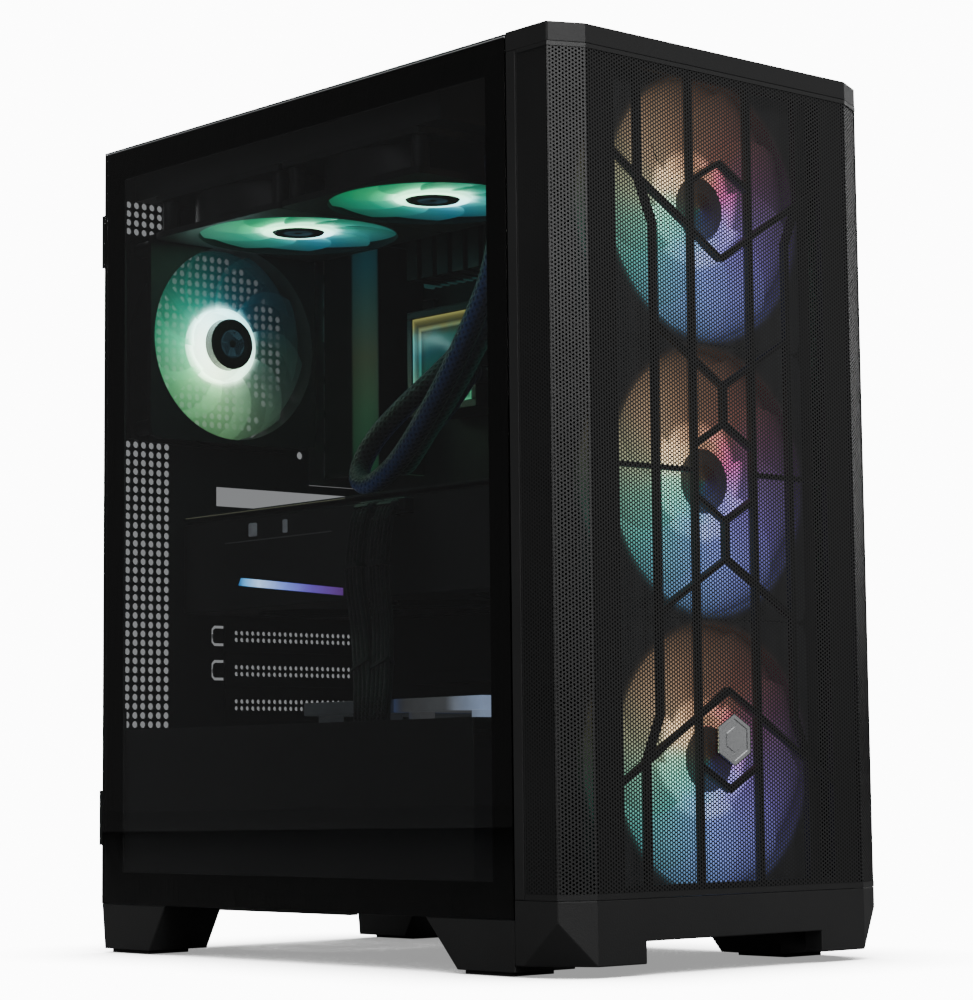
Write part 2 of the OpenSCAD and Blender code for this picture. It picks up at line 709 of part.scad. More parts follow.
module gpu_heatsink() color("#8b9093") difference() {
  union() {
    block([card_x + 6, board_x - 20], [card_front + 6, rear_in - 10], [gpu_bottom + 17, card_top - 15]);
    for (d = card_fan_depths) rod_z(card_fan_x, d, [gpu_bottom + 9, gpu_bottom + 17.1], 5);
    block([-20, 20], [225, 255], [card_top - 15.1, card_top - 4.6]);
  }
  for (d = card_fan_depths) rod_z(card_fan_x, d, [gpu_bottom + 8, gpu_bottom + 17], bearing_r);
}

module gpu_fan_rotor(i) color("#2a2c2e")
  translate([card_fan_x, y_front + card_fan_depths[i], gpu_bottom + 1])
    rotor(card_fan_r - 1, 15, 11, blade_count, 14, 28);

module gpu_bracket() color("#6f7376") difference() {
  block([slot_x[0] - 1.5, slot_x[1] + 1], [rear_in - 1.6, rear_in], [gpu_bottom + 2, card_top + 1]);
  for (i = [0:3])
    block([-20 + i * 22, -4 + i * 22], [rear_in - 2, rear_in + 1], [card_top - 12, card_top - 6]);
  for (i = [0:8])
    block([-22 + i * 10, -17 + i * 10], [rear_in - 2, rear_in + 1], [gpu_bottom + 8, gpu_bottom + 34]);
}

// ------------------------------------------------------------------ slots and drives

module slot_covers() color("#2b2d30") for (i = [4:6]) {
  z = slot_1_z - i * slot_pitch;
  across_front([rear_in - 1, rear_in]) difference() {
    square_between([-25.5, slot_x[1] + 3], [z - 9.2, z + 9.2]);
    for (x = [-20 : 16 : 66], s = [0, 1])
      square_between([x, x + 12], [z - 3.9 + s * 4.2, z - 0.5 + s * 4.2]);
  }
}

module slot_screws() color("#77797b") for (i = [1:6])
  rod_y(tab_x, slot_1_z - i * slot_pitch, [case_d, case_d + 2.5], 2.8);

drive_x = [-86, 14];
drive_t = 7;
drive_depths = [[90, 159.8], [166, 235.8]];
drive_pad = 4.5;                                // mounting pads under each drive
module solid_state_drives() color("#9a9da0") for (d = drive_depths) {
  block(drive_x, d, [shroud_z + drive_pad, shroud_z + drive_pad + drive_t]);
  for (x = [drive_x[0] + 6, drive_x[1] - 16], c = [d[0] + 5, d[1] - 15])
    block([x, x + 10], [c, c + 10], [shroud_z, shroud_z + drive_pad + 1]);
}

// ------------------------------------------------------------------ power supply

module psu_case() color("#1a1b1d") {
  difference() {
    block(psu_x, [psu_front, rear_in], psu_z);
    block([psu_x[0] + 1.2, psu_x[1] - 1.2], [psu_front + 1.2, rear_in - 1.4],
          [psu_z[0] + 1.2, psu_z[1] - 1.2]);
    rod_z(psu_fan_x, psu_fan_depth, [psu_z[0] - 1, psu_z[0] + 2], psu_fan_r);
    block(inlet_x, [rear_in - 2, rear_in + 1], inlet_z);
    block(switch_x, [rear_in - 2, rear_in + 1], inlet_z);
    for (i = [0:8])
      block([-50 + i * 9, -45 + i * 9], [rear_in - 2, rear_in + 1], [psu_z[0] + 12, psu_z[1] - 12]);
  }
  // bars across the fan opening, with the fan's bearing in the middle
  difference() {
    union() {
      for (a = [0, 90]) translate([psu_fan_x, y_front + psu_fan_depth, psu_z[0]]) rotate(a)
        translate([-psu_fan_r - 1, -2, 0]) cube([2 * psu_fan_r + 2, 4, 1.2]);
      rod_z(psu_fan_x, psu_fan_depth, [psu_z[0], psu_z[0] + 1.2], 19);
      rod_z(psu_fan_x, psu_fan_depth, [psu_z[0] + 1, psu_z[0] + 14], 4);
    }
    rod_z(psu_fan_x, psu_fan_depth, [psu_z[0] - 1, psu_z[0] + 15], bearing_r);
  }
}

inlet_x = [42, 70];
switch_x = [74, 86];
inlet_z = [psu_z[0] + 12, psu_z[0] + 32];
module psu_inlet() color("#0f0f10") {
  difference() {
    block([inlet_x[0] + 0.1, inlet_x[1] - 0.1], [rear_in - 18, case_d + 0.6],
          [inlet_z[0] + 0.1, inlet_z[1] - 0.1]);
    block([inlet_x[0] + 2, inlet_x[1] - 2], [rear_in - 15, case_d + 1], [inlet_z[0] + 2, inlet_z[1] - 2]);
  }
  middle = (inlet_x[0] + inlet_x[1]) / 2;
  for (i = [-1:1]) block([middle + i * 7 - 1, middle + i * 7 + 1], [rear_in - 16, case_d - 4],
                         [inlet_z[0] + (i == 0 ? 11 : 6), inlet_z[0] + (i == 0 ? 15 : 10)]);
}

// Rocker of the mains switch, tipping about a bar across its middle
switch_tilt = 8;
module psu_switch() color("#101011") {
  middle = [(switch_x[0] + switch_x[1]) / 2, (inlet_z[0] + inlet_z[1]) / 2];
  translate([switch_x[0] + 1.5, y_front + rear_in - 1.5, middle[1]]) rotate([90, 0, 90])
    linear_extrude(switch_x[1] - switch_x[0] - 3) rotate(-switch_tilt) polygon([
      [-2, -7.5], [3.4, -7.5], [2.2, 0], [3.4, 7.5], [-2, 7.5]
    ]);
  rod_x([switch_x[0] + 0.2, switch_x[1] - 0.2], rear_in - 1.5, middle[1], 1.2);
}

module psu_fan_rotor() color("#26282a")
  translate([psu_fan_x, y_front + psu_fan_depth, psu_z[0] + 20]) mirror([0, 0, 1])
    rotor(psu_fan_r - 2, 22, 14, blade_count, 18, 24);

// ------------------------------------------------------------------ cables

cable_r = 5;
// The route of power cable 0 or 1: they leave the card side by side and close up on the way down
function cable_route(i) = let (
  d = (plug_d[0] + plug_d[1]) / 2 + plug_gap * i,
  low = cable_bottom + 13 * i
) [
  [card_x - 6, d, card_top - 8.8], [card_x - 9.5, d, card_top - 11], [card_x - 13, d, card_top - 20],
  [card_x - 16, d, card_top - 45], [card_x - 19, (3 * d + low) / 4, card_top - 75],
  [card_x - 31, (d + 3 * low) / 4, shroud_z + 22], [cable_bottom_x, low, shroud_z + 4],
  [cable_bottom_x, low, shroud_z - 16]
];
module power_cables() color("#101112") for (i = [0:1]) translate([0, y_front, 0]) {
  tube(cable_route(i), 3, cable_r, 10, [0, 1, 0]);
  translate([card_x - 6, plug_d[0] + plug_gap * i, card_top - 12.5])
    cube([10, plug_d[1] - plug_d[0], 7.4]);
}

// ------------------------------------------------------------------ controls and filters

io_x = [-66, 66];
io_depth = [46, 66];
button_r = 6;
power_x = -46;
reset_x = -28;
button_travel = 1.5;
module io_module() color("#202124") difference() {
  union() {
    block(io_x, io_depth, [chassis_top - 9, chassis_top + 0.4]);
    block([io_x[0] - 3, io_x[1] + 3], [io_depth[0] - 3, io_depth[1] + 3], [chassis_top, chassis_top + 0.8]);
  }
  rod_z(power_x, 56, [chassis_top - 5, chassis_top + 2], button_r + gap);
  rod_z(reset_x, 56, [chassis_top - 5, chassis_top + 2], 3.5 + gap);
  for (x = [-8, 14]) block([x, x + 13], [53, 58.4], [chassis_top - 8, chassis_top + 2]);
  for (x = [42, 56]) rod_z(x, 56, [chassis_top - 8, chassis_top + 2], 1.8);
}

module power_button() color("#54565a") rod_z(power_x, 56, [chassis_top - 3, chassis_top + 2], button_r);
module reset_button() color("#54565a") rod_z(reset_x, 56, [chassis_top - 3, chassis_top + 1.8], 3.5);

filter_t = 1.8;
module filter_grid(size, cells, bar) {
  step = [(size[0] - bar) / cells[0], (size[1] - bar) / cells[1]];
  difference() {
    square(size);
    for (i = [0 : cells[0] - 1], j = [0 : cells[1] - 1])
      translate([bar + i * step[0], bar + j * step[1]]) square(step - [bar, bar]);
  }
}

module top_dust_filter() color("#1b1c1e")
  translate([-core_x + 6, y_front + 88, chassis_top]) linear_extrude(filter_t)
    filter_grid([core_w - 12, 288], [7, 10], 4);

module psu_dust_filter() color("#1b1c1e")
  translate([filter_x[0], y_front + filter_d[0], foot_h - 3.7]) linear_extrude(3.4)
    filter_grid([filter_x[1] - filter_x[0], filter_d[1] - filter_d[0]], [4, 5], 4);

// ------------------------------------------------------------------ nodes

rear_panel();
top_panel();
bottom_panel();
front_chassis_panel();
motherboard_tray();
psu_shroud();
front_feet();
rear_feet();
rubber_pads();
front_cap();
front_side_strips();
front_base();
front_mesh();
front_lattice();
front_badge();
front_fan_frames();
front_fan_rotor(0);  // front_fan_rotor_1
front_fan_rotor(1);  // front_fan_rotor_2
front_fan_rotor(2);  // front_fan_rotor_3
rear_fan_frame();
rear_fan_rotor();
top_fan_frames();
top_fan_rotor(0);  // top_fan_rotor_1
top_fan_rotor(1);  // top_fan_rotor_2
radiator();
coolant_hoses();
pump_block();
motherboard();
motherboard_standoffs();
io_cover();
io_ports();
heatsinks();
ram_modules();
gpu_shroud();
gpu_backplate();
gpu_board();
gpu_heatsink();
gpu_bracket();
gpu_light_bar();
gpu_fan_rotor(0);  // gpu_fan_rotor_1
gpu_fan_rotor(1);  // gpu_fan_rotor_2
gpu_fan_rotor(2);  // gpu_fan_rotor_3
slot_covers();
slot_screws();
psu_case();
psu_fan_rotor();
psu_inlet();
psu_switch();
solid_state_drives();
power_cables();
io_module();
power_button();
reset_button();
top_dust_filter();
psu_dust_filter();
glass_sheet();
glass_frame();
glass_panel_screws();
right_side_panel();
right_panel_screws();
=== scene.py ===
"""The looks of a desktop computer tower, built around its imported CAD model.

Everything is in the row frame: x away from the glass side, y towards the rear, z up.
Lengths in the helpers are millimetres; MM turns them into metres.
"""

import json
import math

import bpy
from mathutils import Matrix, Vector


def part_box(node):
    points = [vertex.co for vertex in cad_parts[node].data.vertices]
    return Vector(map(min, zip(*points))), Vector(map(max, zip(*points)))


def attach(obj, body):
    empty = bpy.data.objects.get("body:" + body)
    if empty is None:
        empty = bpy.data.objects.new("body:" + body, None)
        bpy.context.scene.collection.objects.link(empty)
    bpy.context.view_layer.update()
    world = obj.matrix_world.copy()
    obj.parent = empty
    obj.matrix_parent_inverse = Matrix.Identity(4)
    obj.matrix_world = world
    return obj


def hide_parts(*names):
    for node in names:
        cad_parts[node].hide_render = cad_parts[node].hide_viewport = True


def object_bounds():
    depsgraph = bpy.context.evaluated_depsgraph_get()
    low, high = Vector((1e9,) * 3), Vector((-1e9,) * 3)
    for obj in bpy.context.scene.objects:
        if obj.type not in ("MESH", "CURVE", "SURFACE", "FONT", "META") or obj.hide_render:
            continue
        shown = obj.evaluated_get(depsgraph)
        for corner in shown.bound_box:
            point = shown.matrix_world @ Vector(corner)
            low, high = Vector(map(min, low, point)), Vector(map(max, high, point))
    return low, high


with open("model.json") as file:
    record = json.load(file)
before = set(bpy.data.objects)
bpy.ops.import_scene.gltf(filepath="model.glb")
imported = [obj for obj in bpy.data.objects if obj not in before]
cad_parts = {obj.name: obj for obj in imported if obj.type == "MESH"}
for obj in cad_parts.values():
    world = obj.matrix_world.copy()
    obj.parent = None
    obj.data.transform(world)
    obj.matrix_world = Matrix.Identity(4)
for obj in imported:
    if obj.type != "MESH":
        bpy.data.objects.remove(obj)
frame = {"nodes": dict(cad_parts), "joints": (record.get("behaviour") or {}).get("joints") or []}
cad_low, cad_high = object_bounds()
NODES = frame["nodes"]
JOINTS = {j["name"]: j for j in frame["joints"]}
MM = 0.001
HALF_W = cad_high.x / MM


def span(node):
    """The lowest and highest corner of a CAD node, in millimetres."""
    low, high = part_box(node)
    return low / MM, high / MM


FRONT = span("front_mesh")[0].y  # the outer face of the front mesh


def depth(d):
    """The y of a point d millimetres behind the front mesh."""
    return FRONT + d


# ---- materials

class Tree:
    """A node tree that starts with nothing but its output."""

    def __init__(self, owner, output="OutputMaterial"):
        owner.use_nodes = True
        self.tree = owner.node_tree
        self.tree.nodes.clear()
        self.output = self.node(output)

    def put(self, source, target):
        """Links a socket, or sets a plain value."""
        if isinstance(source, bpy.types.NodeSocket):
            self.tree.links.new(source, target)
        else:
            target.default_value = source

    def node(self, kind, *values, **named):
        """Adds a node. Lower-case names are settings, others are inputs with _ for a space."""
        made = self.tree.nodes.new("ShaderNode" + kind)
        for key, value in named.items():
            if key.islower():
                setattr(made, key, value)
            else:
                self.put(value, made.inputs[key.replace("_", " ")])
        for value, socket in zip(values, made.inputs):
            self.put(value, socket)
        return made

    def maths(self, operation, a, b=0.0, c=0.0):
        return self.node("Math", a, b, c, operation=operation).outputs[0]

    def times(self, a, b):
        return self.maths("MULTIPLY", a, b)


class Look(Tree):
    """A Principled material built from nodes."""

    def __init__(self, name, **values):
        self.material = bpy.data.materials.new(name)
        super().__init__(self.material)
        self.shader = self.node("BsdfPrincipled", **values)
        self.put(self.shader.outputs[0], self.output.inputs[0])

    def set(self, **sources):
        for key, source in sources.items():
            self.put(source, self.shader.inputs[key.replace("_", " ")])

    def place(self, kind="Object"):
        return self.node("TexCoord").outputs[kind]

    def vector(self, operation, a, b):
        return self.node("VectorMath", a, b, operation=operation).outputs[0]

    def parts(self, vector):
        return self.node("SeparateXYZ", vector).outputs

    def along(self, axis, low, high):
        """From 0 to 1 between two places on the x, y or z axis, in millimetres."""
        part = self.parts(self.place())["XYZ".index(axis)]
        return self.times(self.maths("SUBTRACT", part, low * MM), 1 / ((high - low) * MM))

    def noise(self, scale, detail=2.0, vector=None, rough=0.5):
        return self.node("TexNoise", Vector=vector or self.place(), Scale=scale, Detail=detail,
                         Roughness=rough).outputs[0]

    def ramp(self, factor, *stops):
        """Colours or greys at places from 0 to 1."""
        made = self.node("ValToRGB", factor)
        elements = made.color_ramp.elements
        while len(elements) < len(stops):
            elements.new(0.5)
        for element, (spot, colour) in zip(elements, stops):
            element.position = spot
            element.color = (*colour, 1) if isinstance(colour, tuple) else (colour, colour, colour, 1)
        return made.outputs[0]

    def mix(self, factor, a, b):
        """Mixes two colours."""
        made = self.node("Mix", factor, data_type="RGBA")
        for value, socket in ((a, made.inputs[6]), (b, made.inputs[7])):
            self.put((*value, 1) if isinstance(value, tuple) else value, socket)
        return made.outputs[2]

    def between(self, factor, low, high):
        return self.maths("MULTIPLY_ADD", factor, high - low, low)

    def blend(self, a, b, share):
        """A share of one value and the rest of another."""
        return self.maths("MULTIPLY_ADD", a, share, self.times(b, 1 - share))

    def lit(self, cloud, dark, light, hue, power, low, high):
        """A mottled colour, and light of a hue whose power varies with the mottling."""
        self.set(Base_Color=self.mix(cloud, dark, light), Emission_Color=hue,
                 Emission_Strength=self.times(power, self.between(cloud, low, high)))

    def bump(self, height, distance):
        """Bump from a height of 0 to 1, over a distance in millimetres."""
        self.set(Normal=self.node("Bump", Distance=distance * MM, Height=height).outputs[0])


def coated(name, dark, light, rough, grain=1400, depth_mm=0.04, metallic=0.0, patch=14):
    """A moulded or painted surface: patchy colour, uneven gloss and a fine grain."""
    look = Look(name, Metallic=metallic)
    patches, fine = look.noise(patch, 5), look.noise(grain, 3)
    look.set(Base_Color=look.mix(look.ramp(patches, (0.3, 0), (0.7, 1)), dark, light),
             Roughness=look.between(look.blend(patches, fine, 0.6), rough - 0.12, rough + 0.12))
    look.bump(fine, depth_mm)
    return look.material


def brushed(name, dark, light, rough, along=(1, 1, 40)):
    """Metal with a straight brushed grain, finer across `along`."""
    look = Look(name, Metallic=1.0)
    lines = look.noise(260, 4, look.vector("MULTIPLY", look.place(), along), 0.7)
    patches = look.noise(20, 4)
    look.set(Base_Color=look.mix(lines, dark, light),
             Roughness=look.between(look.blend(patches, lines, 0.5), rough - 0.1, rough + 0.12))
    look.bump(lines, 0.02)
    return look.material


GLOW_REACH = 80  # the radius at which a glow's brightness table ends


def glow(name, centre, flat, inner, outer, halo, strength, alpha=1.0, edge=(28, 32), every=None):
    """Frosted plastic lit from a fan's hub: colour by angle, brightness by angle and radius.

    centre is the fan's axis in millimetres and flat the two axes across it, such as "XZ".
    inner and outer are palettes of (angle in turns, colour, brightness), for within and beyond
    the radii in edge. halo gives the brightness at radii in millimetres. With every, the
    pattern repeats along the second axis.
    """
    look = Look(name, Roughness=0.36, Alpha=alpha)
    part = look.parts(look.vector("SUBTRACT", look.place(), Vector(centre) * MM))
    right, up = (part["XYZ".index(axis)] for axis in flat)
    if every:
        up = look.maths("WRAP", up, every * MM / 2, -every * MM / 2)
    turn = look.times(look.maths("ARCTAN2", up, right), 0.5 / math.pi)
    turn = look.maths("FRACT", look.maths("ADD", turn, 1.0))
    square = look.maths("ADD", look.times(right, right), look.times(up, up))
    radius = look.times(look.maths("SQRT", square), 1 / (GLOW_REACH * MM))
    far = look.ramp(radius, (edge[0] / GLOW_REACH, 0), (edge[1] / GLOW_REACH, 1))
    colour, bright = (look.mix(far, *[look.ramp(turn, *[(row[0], row[k]) for row in palette])
                                      for palette in (inner, outer)]) for k in (1, 2))
    fall = look.ramp(radius, *[(r / GLOW_REACH, b) for r, b in halo])
    cloud = look.noise(55, 3)
    look.lit(cloud, (0.05, 0.055, 0.06), (0.08, 0.085, 0.09), colour, look.times(bright, fall),
             0.85 * strength, 1.15 * strength)
    look.bump(look.noise(900, 2), 0.03)
    return look.material


def braided(name, dark, light, turns, per_mm, sheen=None):
    """A woven sleeve, from the UV map: u round the tube and v along it in millimetres.

    sheen paints coloured light along its edges, a painted reflection of the fans' light: (colour round one
    side, colour round the other, strength).
    """
    look = Look(name)
    part = look.parts(look.place("UV"))
    around, along = (look.times(part[k], 2 * math.pi * rate) for k, rate in ((0, turns), (1, per_mm)))
    one, two = (look.maths("SINE", look.maths(kind, around, along)) for kind in ("ADD", "SUBTRACT"))
    weave = look.maths("MULTIPLY_ADD", look.maths("MAXIMUM", one, two), 0.5, 0.5)
    patches = look.noise(90, 4)
    look.set(Base_Color=look.mix(look.times(weave, look.between(patches, 0.6, 1.0)), dark, light),
             Roughness=look.between(patches, 0.38, 0.6))
    # painted reflection: coloured fan light glowing along two sides of the tube
    if sheen:
        one_side, other_side, strength = sheen
        side = look.ramp(part[0], (0, 0.6), (0.12, 0), (0.42, 0), (0.55, 1), (0.68, 0.1), (0.8, 0),
                         (0.93, 0.9), (1, 0.6))
        look.set(Emission_Color=look.mix(look.ramp(part[0], (0.7, 0), (0.8, 1)), one_side, other_side),
                 Emission_Strength=look.times(look.times(side, weave),
                                              look.between(look.noise(14, 2), 0, strength)))
    look.bump(weave, 0.5)
    return look.material


def faint(name, colour, low, high, scale=25, base=(0.5, 1), fade=0.6):
    """A surface that glows faintly and unevenly, as if lit by a light out of sight."""
    look = Look(name, Roughness=0.4)
    cloud = look.noise(scale, 3)
    ends = [tuple(c * share for c in colour) for share in (*base, fade)]
    look.set(Base_Color=look.mix(cloud, ends[0], ends[1]), Emission_Color=look.mix(cloud, colour, ends[2]),
             Emission_Strength=look.between(cloud, low, high))
    return look.material


def glass_look():
    look = Look("tinted_glass", Roughness=0.0, IOR=1.3, Transmission_Weight=1.0)
    look.set(Base_Color=look.mix(look.noise(7, 5), (0.50, 0.515, 0.53), (0.56, 0.575, 0.59)))
    look.bump(look.noise(3, 1), 0.02)
    return look.material


def pump_look():
    """A mirror with light at its edges: gold along the top, teal across the middle, green below."""
    look = Look("pump_mirror", Roughness=0.12, Metallic=0.6)
    away = look.parts(look.vector("SUBTRACT", look.place(), PUMP_CENTRE * MM))
    edge = look.maths("MAXIMUM", look.maths("ABSOLUTE", away[1]), look.maths("ABSOLUTE", away[2]))
    light = look.ramp(look.times(edge, 1 / (27 * MM)), (0, 0.18), (0.5, 0.22), (0.66, 0.1), (0.72, 0.7),
                      (0.8, 0.12), (0.9, 0.35), (0.97, 1))
    level = look.maths("MULTIPLY_ADD", away[2], 1 / (54 * MM), 0.5)
    level = look.maths("ADD", level, look.between(look.noise(60, 3), -0.16, 0.16))
    hue = look.ramp(level, (0.1, (0.1, 0.62, 0.3)), (0.35, (0.03, 0.42, 0.3)), (0.6, (0.02, 0.36, 0.42)),
                    (0.78, (0.1, 0.5, 0.4)), (0.92, (0.5, 0.46, 0.12)))
    look.set(Base_Color=look.mix(light, (0.02, 0.022, 0.024), (0.12, 0.13, 0.12)),
             Emission_Color=hue, Emission_Strength=look.times(light, 1.1))
    return look.material


def bar_look():
    """The card's light bar: white-blue towards the rear, purple towards the front."""
    look = Look("card_light", Roughness=0.3)
    low, high = span("gpu_light_bar")
    along = look.along("Y", low.y, high.y)
    hue = look.ramp(along, (0, (0.3, 0.07, 0.55)), (0.3, (0.22, 0.12, 0.8)), (0.55, (0.22, 0.32, 1.0)),
                    (0.8, (0.45, 0.68, 1.0)), (0.93, (0.1, 0.45, 0.9)), (1, (0.03, 0.22, 0.55)))
    power = look.ramp(along, (0, 0.22), (0.3, 0.4), (0.6, 0.7), (0.8, 1), (0.95, 0.8), (1, 0.4))
    look.lit(look.noise(200, 2), (0.1, 0.12, 0.2), (0.08, 0.1, 0.16), hue, power, 2.2, 3.0)
    return look.material


def cover_look():
    """Brushed metal over the rear sockets, catching the fans' light along its front edge."""
    look = Look("socket_cover", Metallic=0.6, Roughness=0.42)
    edge = span("io_cover")[0].y
    strip = look.ramp(look.along("Y", edge, edge + 60), (0, 0), (0.03, 0.8), (0.2, 1), (0.4, 0.7),
                      (0.44, 0.02))
    hue = look.ramp(look.along("Z", 270, 430), (0, (0.03, 0.22, 0.1)), (0.3, (0.08, 0.26, 0.12)),
                    (0.5, (0.13, 0.2, 0.1)), (0.68, (0.06, 0.2, 0.16)), (0.85, (0.02, 0.17, 0.2)),
                    (1, (0.01, 0.1, 0.12)))
    lines = look.noise(300, 3, look.vector("MULTIPLY", look.place(), (1, 30, 1)))
    look.lit(lines, (0.01, 0.011, 0.012), (0.02, 0.022, 0.024), hue, strip, 0.25, 0.45)
    look.bump(lines, 0.02)
    return look.material


def drive_look():
    """Dark anodised drives, brighter towards the front where the fan light falls on them."""
    look = Look("drive_metal", Metallic=0.7, Roughness=0.4)
    low, high = span("solid_state_drives")
    along = look.along("Y", low.y, high.y)
    light = look.ramp(along, (0, 1), (0.14, 0.8), (0.19, 0.3), (0.44, 0.22), (0.47, 0.35), (0.52, 0.1),
                      (1, 0.13))
    hue = look.ramp(along, (0, (0.5, 0.65, 0.95)), (0.2, (0.38, 0.4, 0.42)), (0.42, (0.34, 0.35, 0.36)),
                    (0.48, (0.15, 0.25, 0.6)), (0.55, (0.25, 0.28, 0.3)))
    look.lit(look.noise(70, 4), (0.05, 0.052, 0.056), (0.12, 0.125, 0.13), hue, light, 0.5, 0.9)
    look.bump(look.noise(1200, 2), 0.02)
    return look.material


PUMP, RADIATOR = span("pump_block"), span("radiator")
PUMP_CENTRE = Vector((0, PUMP[1].y - 31, (PUMP[0].z + PUMP[1].z) / 2))

BLACK_STEEL = coated("black_powder_coat", (0.01, 0.0105, 0.011), (0.016, 0.0165, 0.0175), 0.5)
SATIN_BLACK = coated("satin_black_coat", (0.012, 0.0125, 0.013), (0.019, 0.0195, 0.02), 0.42)
INNER_BLACK = coated("inner_black_coat", (0.006, 0.0065, 0.007), (0.011, 0.0115, 0.012), 0.6)
MOULDING = coated("textured_plastic", (0.018, 0.0182, 0.0185), (0.027, 0.0273, 0.0278), 0.46, 1100, 0.07)
MESH_PAINT = coated("mesh_paint", (0.016, 0.0163, 0.0165), (0.024, 0.0243, 0.0245), 0.4, 2200, 0.02)
LATTICE = coated("lattice_plastic", (0.004, 0.004, 0.0042), (0.007, 0.007, 0.0073), 0.7)
FAN_BLACK = coated("fan_frame_plastic", (0.008, 0.0082, 0.0085), (0.014, 0.0143, 0.0148), 0.48)
HUB_BLACK = coated("fan_hub_plastic", (0.006, 0.0062, 0.0064), (0.01, 0.0103, 0.0106), 0.35)
RUBBER = coated("rubber", (0.012, 0.012, 0.012), (0.02, 0.02, 0.02), 0.8, 900, 0.1)
BOARD = coated("solder_mask", (0.006, 0.008, 0.009), (0.01, 0.013, 0.014), 0.45, 400, 0.05, patch=60)
BLACK_PARTS = coated("component_plastic", (0.008, 0.008, 0.009), (0.016, 0.016, 0.017), 0.5)
STEEL = brushed("bare_steel", (0.35, 0.355, 0.36), (0.6, 0.6, 0.61), 0.32)
DARK_STEEL = brushed("dark_plated_steel", (0.09, 0.092, 0.096), (0.17, 0.173, 0.178), 0.36)
BADGE_METAL = brushed("brushed_badge", (0.42, 0.43, 0.44), (0.72, 0.73, 0.74), 0.3, (40, 1, 1))
GOLD = coated("gold_contacts", (0.6, 0.42, 0.16), (0.75, 0.55, 0.22), 0.3, metallic=1.0)
FINS = brushed("fin_stack", (0.2, 0.205, 0.21), (0.42, 0.425, 0.43), 0.42, (1, 60, 1))
# painted highlight: the card board's edge glows as if catching the fans' light
EDGE_PAINTED_HIGHLIGHT = faint("board_edge_painted_highlight", (0.36, 0.37, 0.24), 0.2, 0.4)
# painted highlight: the card's trim dots glow as if catching light
DOT_PAINTED_HIGHLIGHT = faint("trim_dots_painted_highlight", (0.25, 0.26, 0.26), 0.07, 0.14)
# painted glint: the card's capacitor cans glow as if catching light
SILVER_CAN_GLINT = faint("silver_cans_painted_glint", (0.42, 0.44, 0.48), 0.15, 0.3, 160)
# painted light: the board's capacitors glow teal, as if lit by the fans
CAN_TEAL_LIGHT = faint("capacitor_cans_painted_light", (0.03, 0.13, 0.12), 0.35, 0.7)


# ---- mesh helpers

def add_object(name, data):
    made = bpy.data.objects.new(name, data)
    bpy.context.scene.collection.objects.link(made)
    return made


def at(x, y, z):
    return Matrix.Translation((x, y, z))


def turned(degrees, axis):
    return Matrix.Rotation(math.radians(degrees), 4, axis)


TO_REAR, TO_FRONT = turned(-90, "X"), turned(90, "X")  # turn z towards the rear and the front


def wheel(sides):
    """The cosine and sine of evenly spaced directions."""
    return [(math.cos(2 * math.pi * k / sides), math.sin(2 * math.pi * k / sides)) for k in range(sides)]


def circle(x, y, r, sides=12):
    return [(x + r * c, y + r * s) for c, s in wheel(sides)]


def rectangle(x, y):
    return [(x[0], y[0]), (x[1], y[0]), (x[1], y[1]), (x[0], y[1])]


def directions(path):
    """The direction of a path at each of its points."""
    return [(b - a).normalized() for a, b in zip(path[:1] + path, path[1:] + path[-1:])]


class Shape:
    """Collects vertices and faces, in millimetres, for one piece."""

    def __init__(self):
        self.points, self.faces, self.kinds, self.uvs, self.kind = [], [], [], [], 0

    def add(self, points, faces, uvs=()):
        base = len(self.points)
        self.points.extend(points)
        self.faces += [[base + i for i in face] for face in faces]
        self.kinds += [self.kind] * len(faces)
        self.uvs += uvs

    def block(self, x, y, z, edge=0.4):
        """A box with its edges cut back by `edge`."""
        e = min(edge, *[(b - a) * 0.45 for a, b in (x, y, z)])
        rings = []
        for level, inset in ((z[0], e), (z[0] + e, 0), (z[1] - e, 0), (z[1], e)):
            a, b = x[0] + inset, x[1] - inset
            c, d = y[0] + inset, y[1] - inset
            cut = e * 0.5 if inset else e
            rings.append([(*p, level) for p in ((a + cut, c), (b - cut, c), (b, c + cut), (b, d - cut),
                                                (b - cut, d), (a + cut, d), (a, d - cut), (a, c + cut))])
        self.loft(rings, caps=True)

    def loft(self, rings, caps=False, closed=False, uvs=False):
        """Skins a list of rings that all have the same number of points."""
        n, count = len(rings[0]), len(rings)
        faces, corners, along = [], [], [0.0]
        for a, b in zip(rings, rings[1:]):
            along.append(along[-1] + (Vector(a[0]) - Vector(b[0])).length)
        for i in range(count if closed else count - 1):
            j = (i + 1) % count
            for k in range(n):
                m = (k + 1) % n
                faces.append([i * n + k, i * n + m, j * n + m, j * n + k])
                for u, v in ((k, i), (k + 1, i), (k + 1, j), (k, j)):
                    corners += [u / n, along[v]]
        if caps:
            faces += [list(range(n))[::-1], [(count - 1) * n + k for k in range(n)]]
            corners += [0] * 4 * n
        self.add([p for ring in rings for p in ring], faces, corners if uvs else ())

    def lathe(self, profile, sides, place, closed=False):
        """Turns a profile of (radius, z) about z, then places it."""
        rings = [[place @ Vector((r * c, r * s, z)) for c, s in wheel(sides)] for r, z in profile]
        self.loft(rings, caps=not closed, closed=closed)

    def tube(self, path, radius, sides):
        """A round tube along a path, with a UV map in millimetres along it."""
        rings, across = [], directions(path)[0].orthogonal()
        for p, run in zip(path, directions(path)):
            across = (across - run * across.dot(run)).normalized()
            other = run.cross(across)
            rings.append([p + radius * (across * c + other * s) for c, s in wheel(sides)])
        self.loft(rings, caps=True, uvs=True)


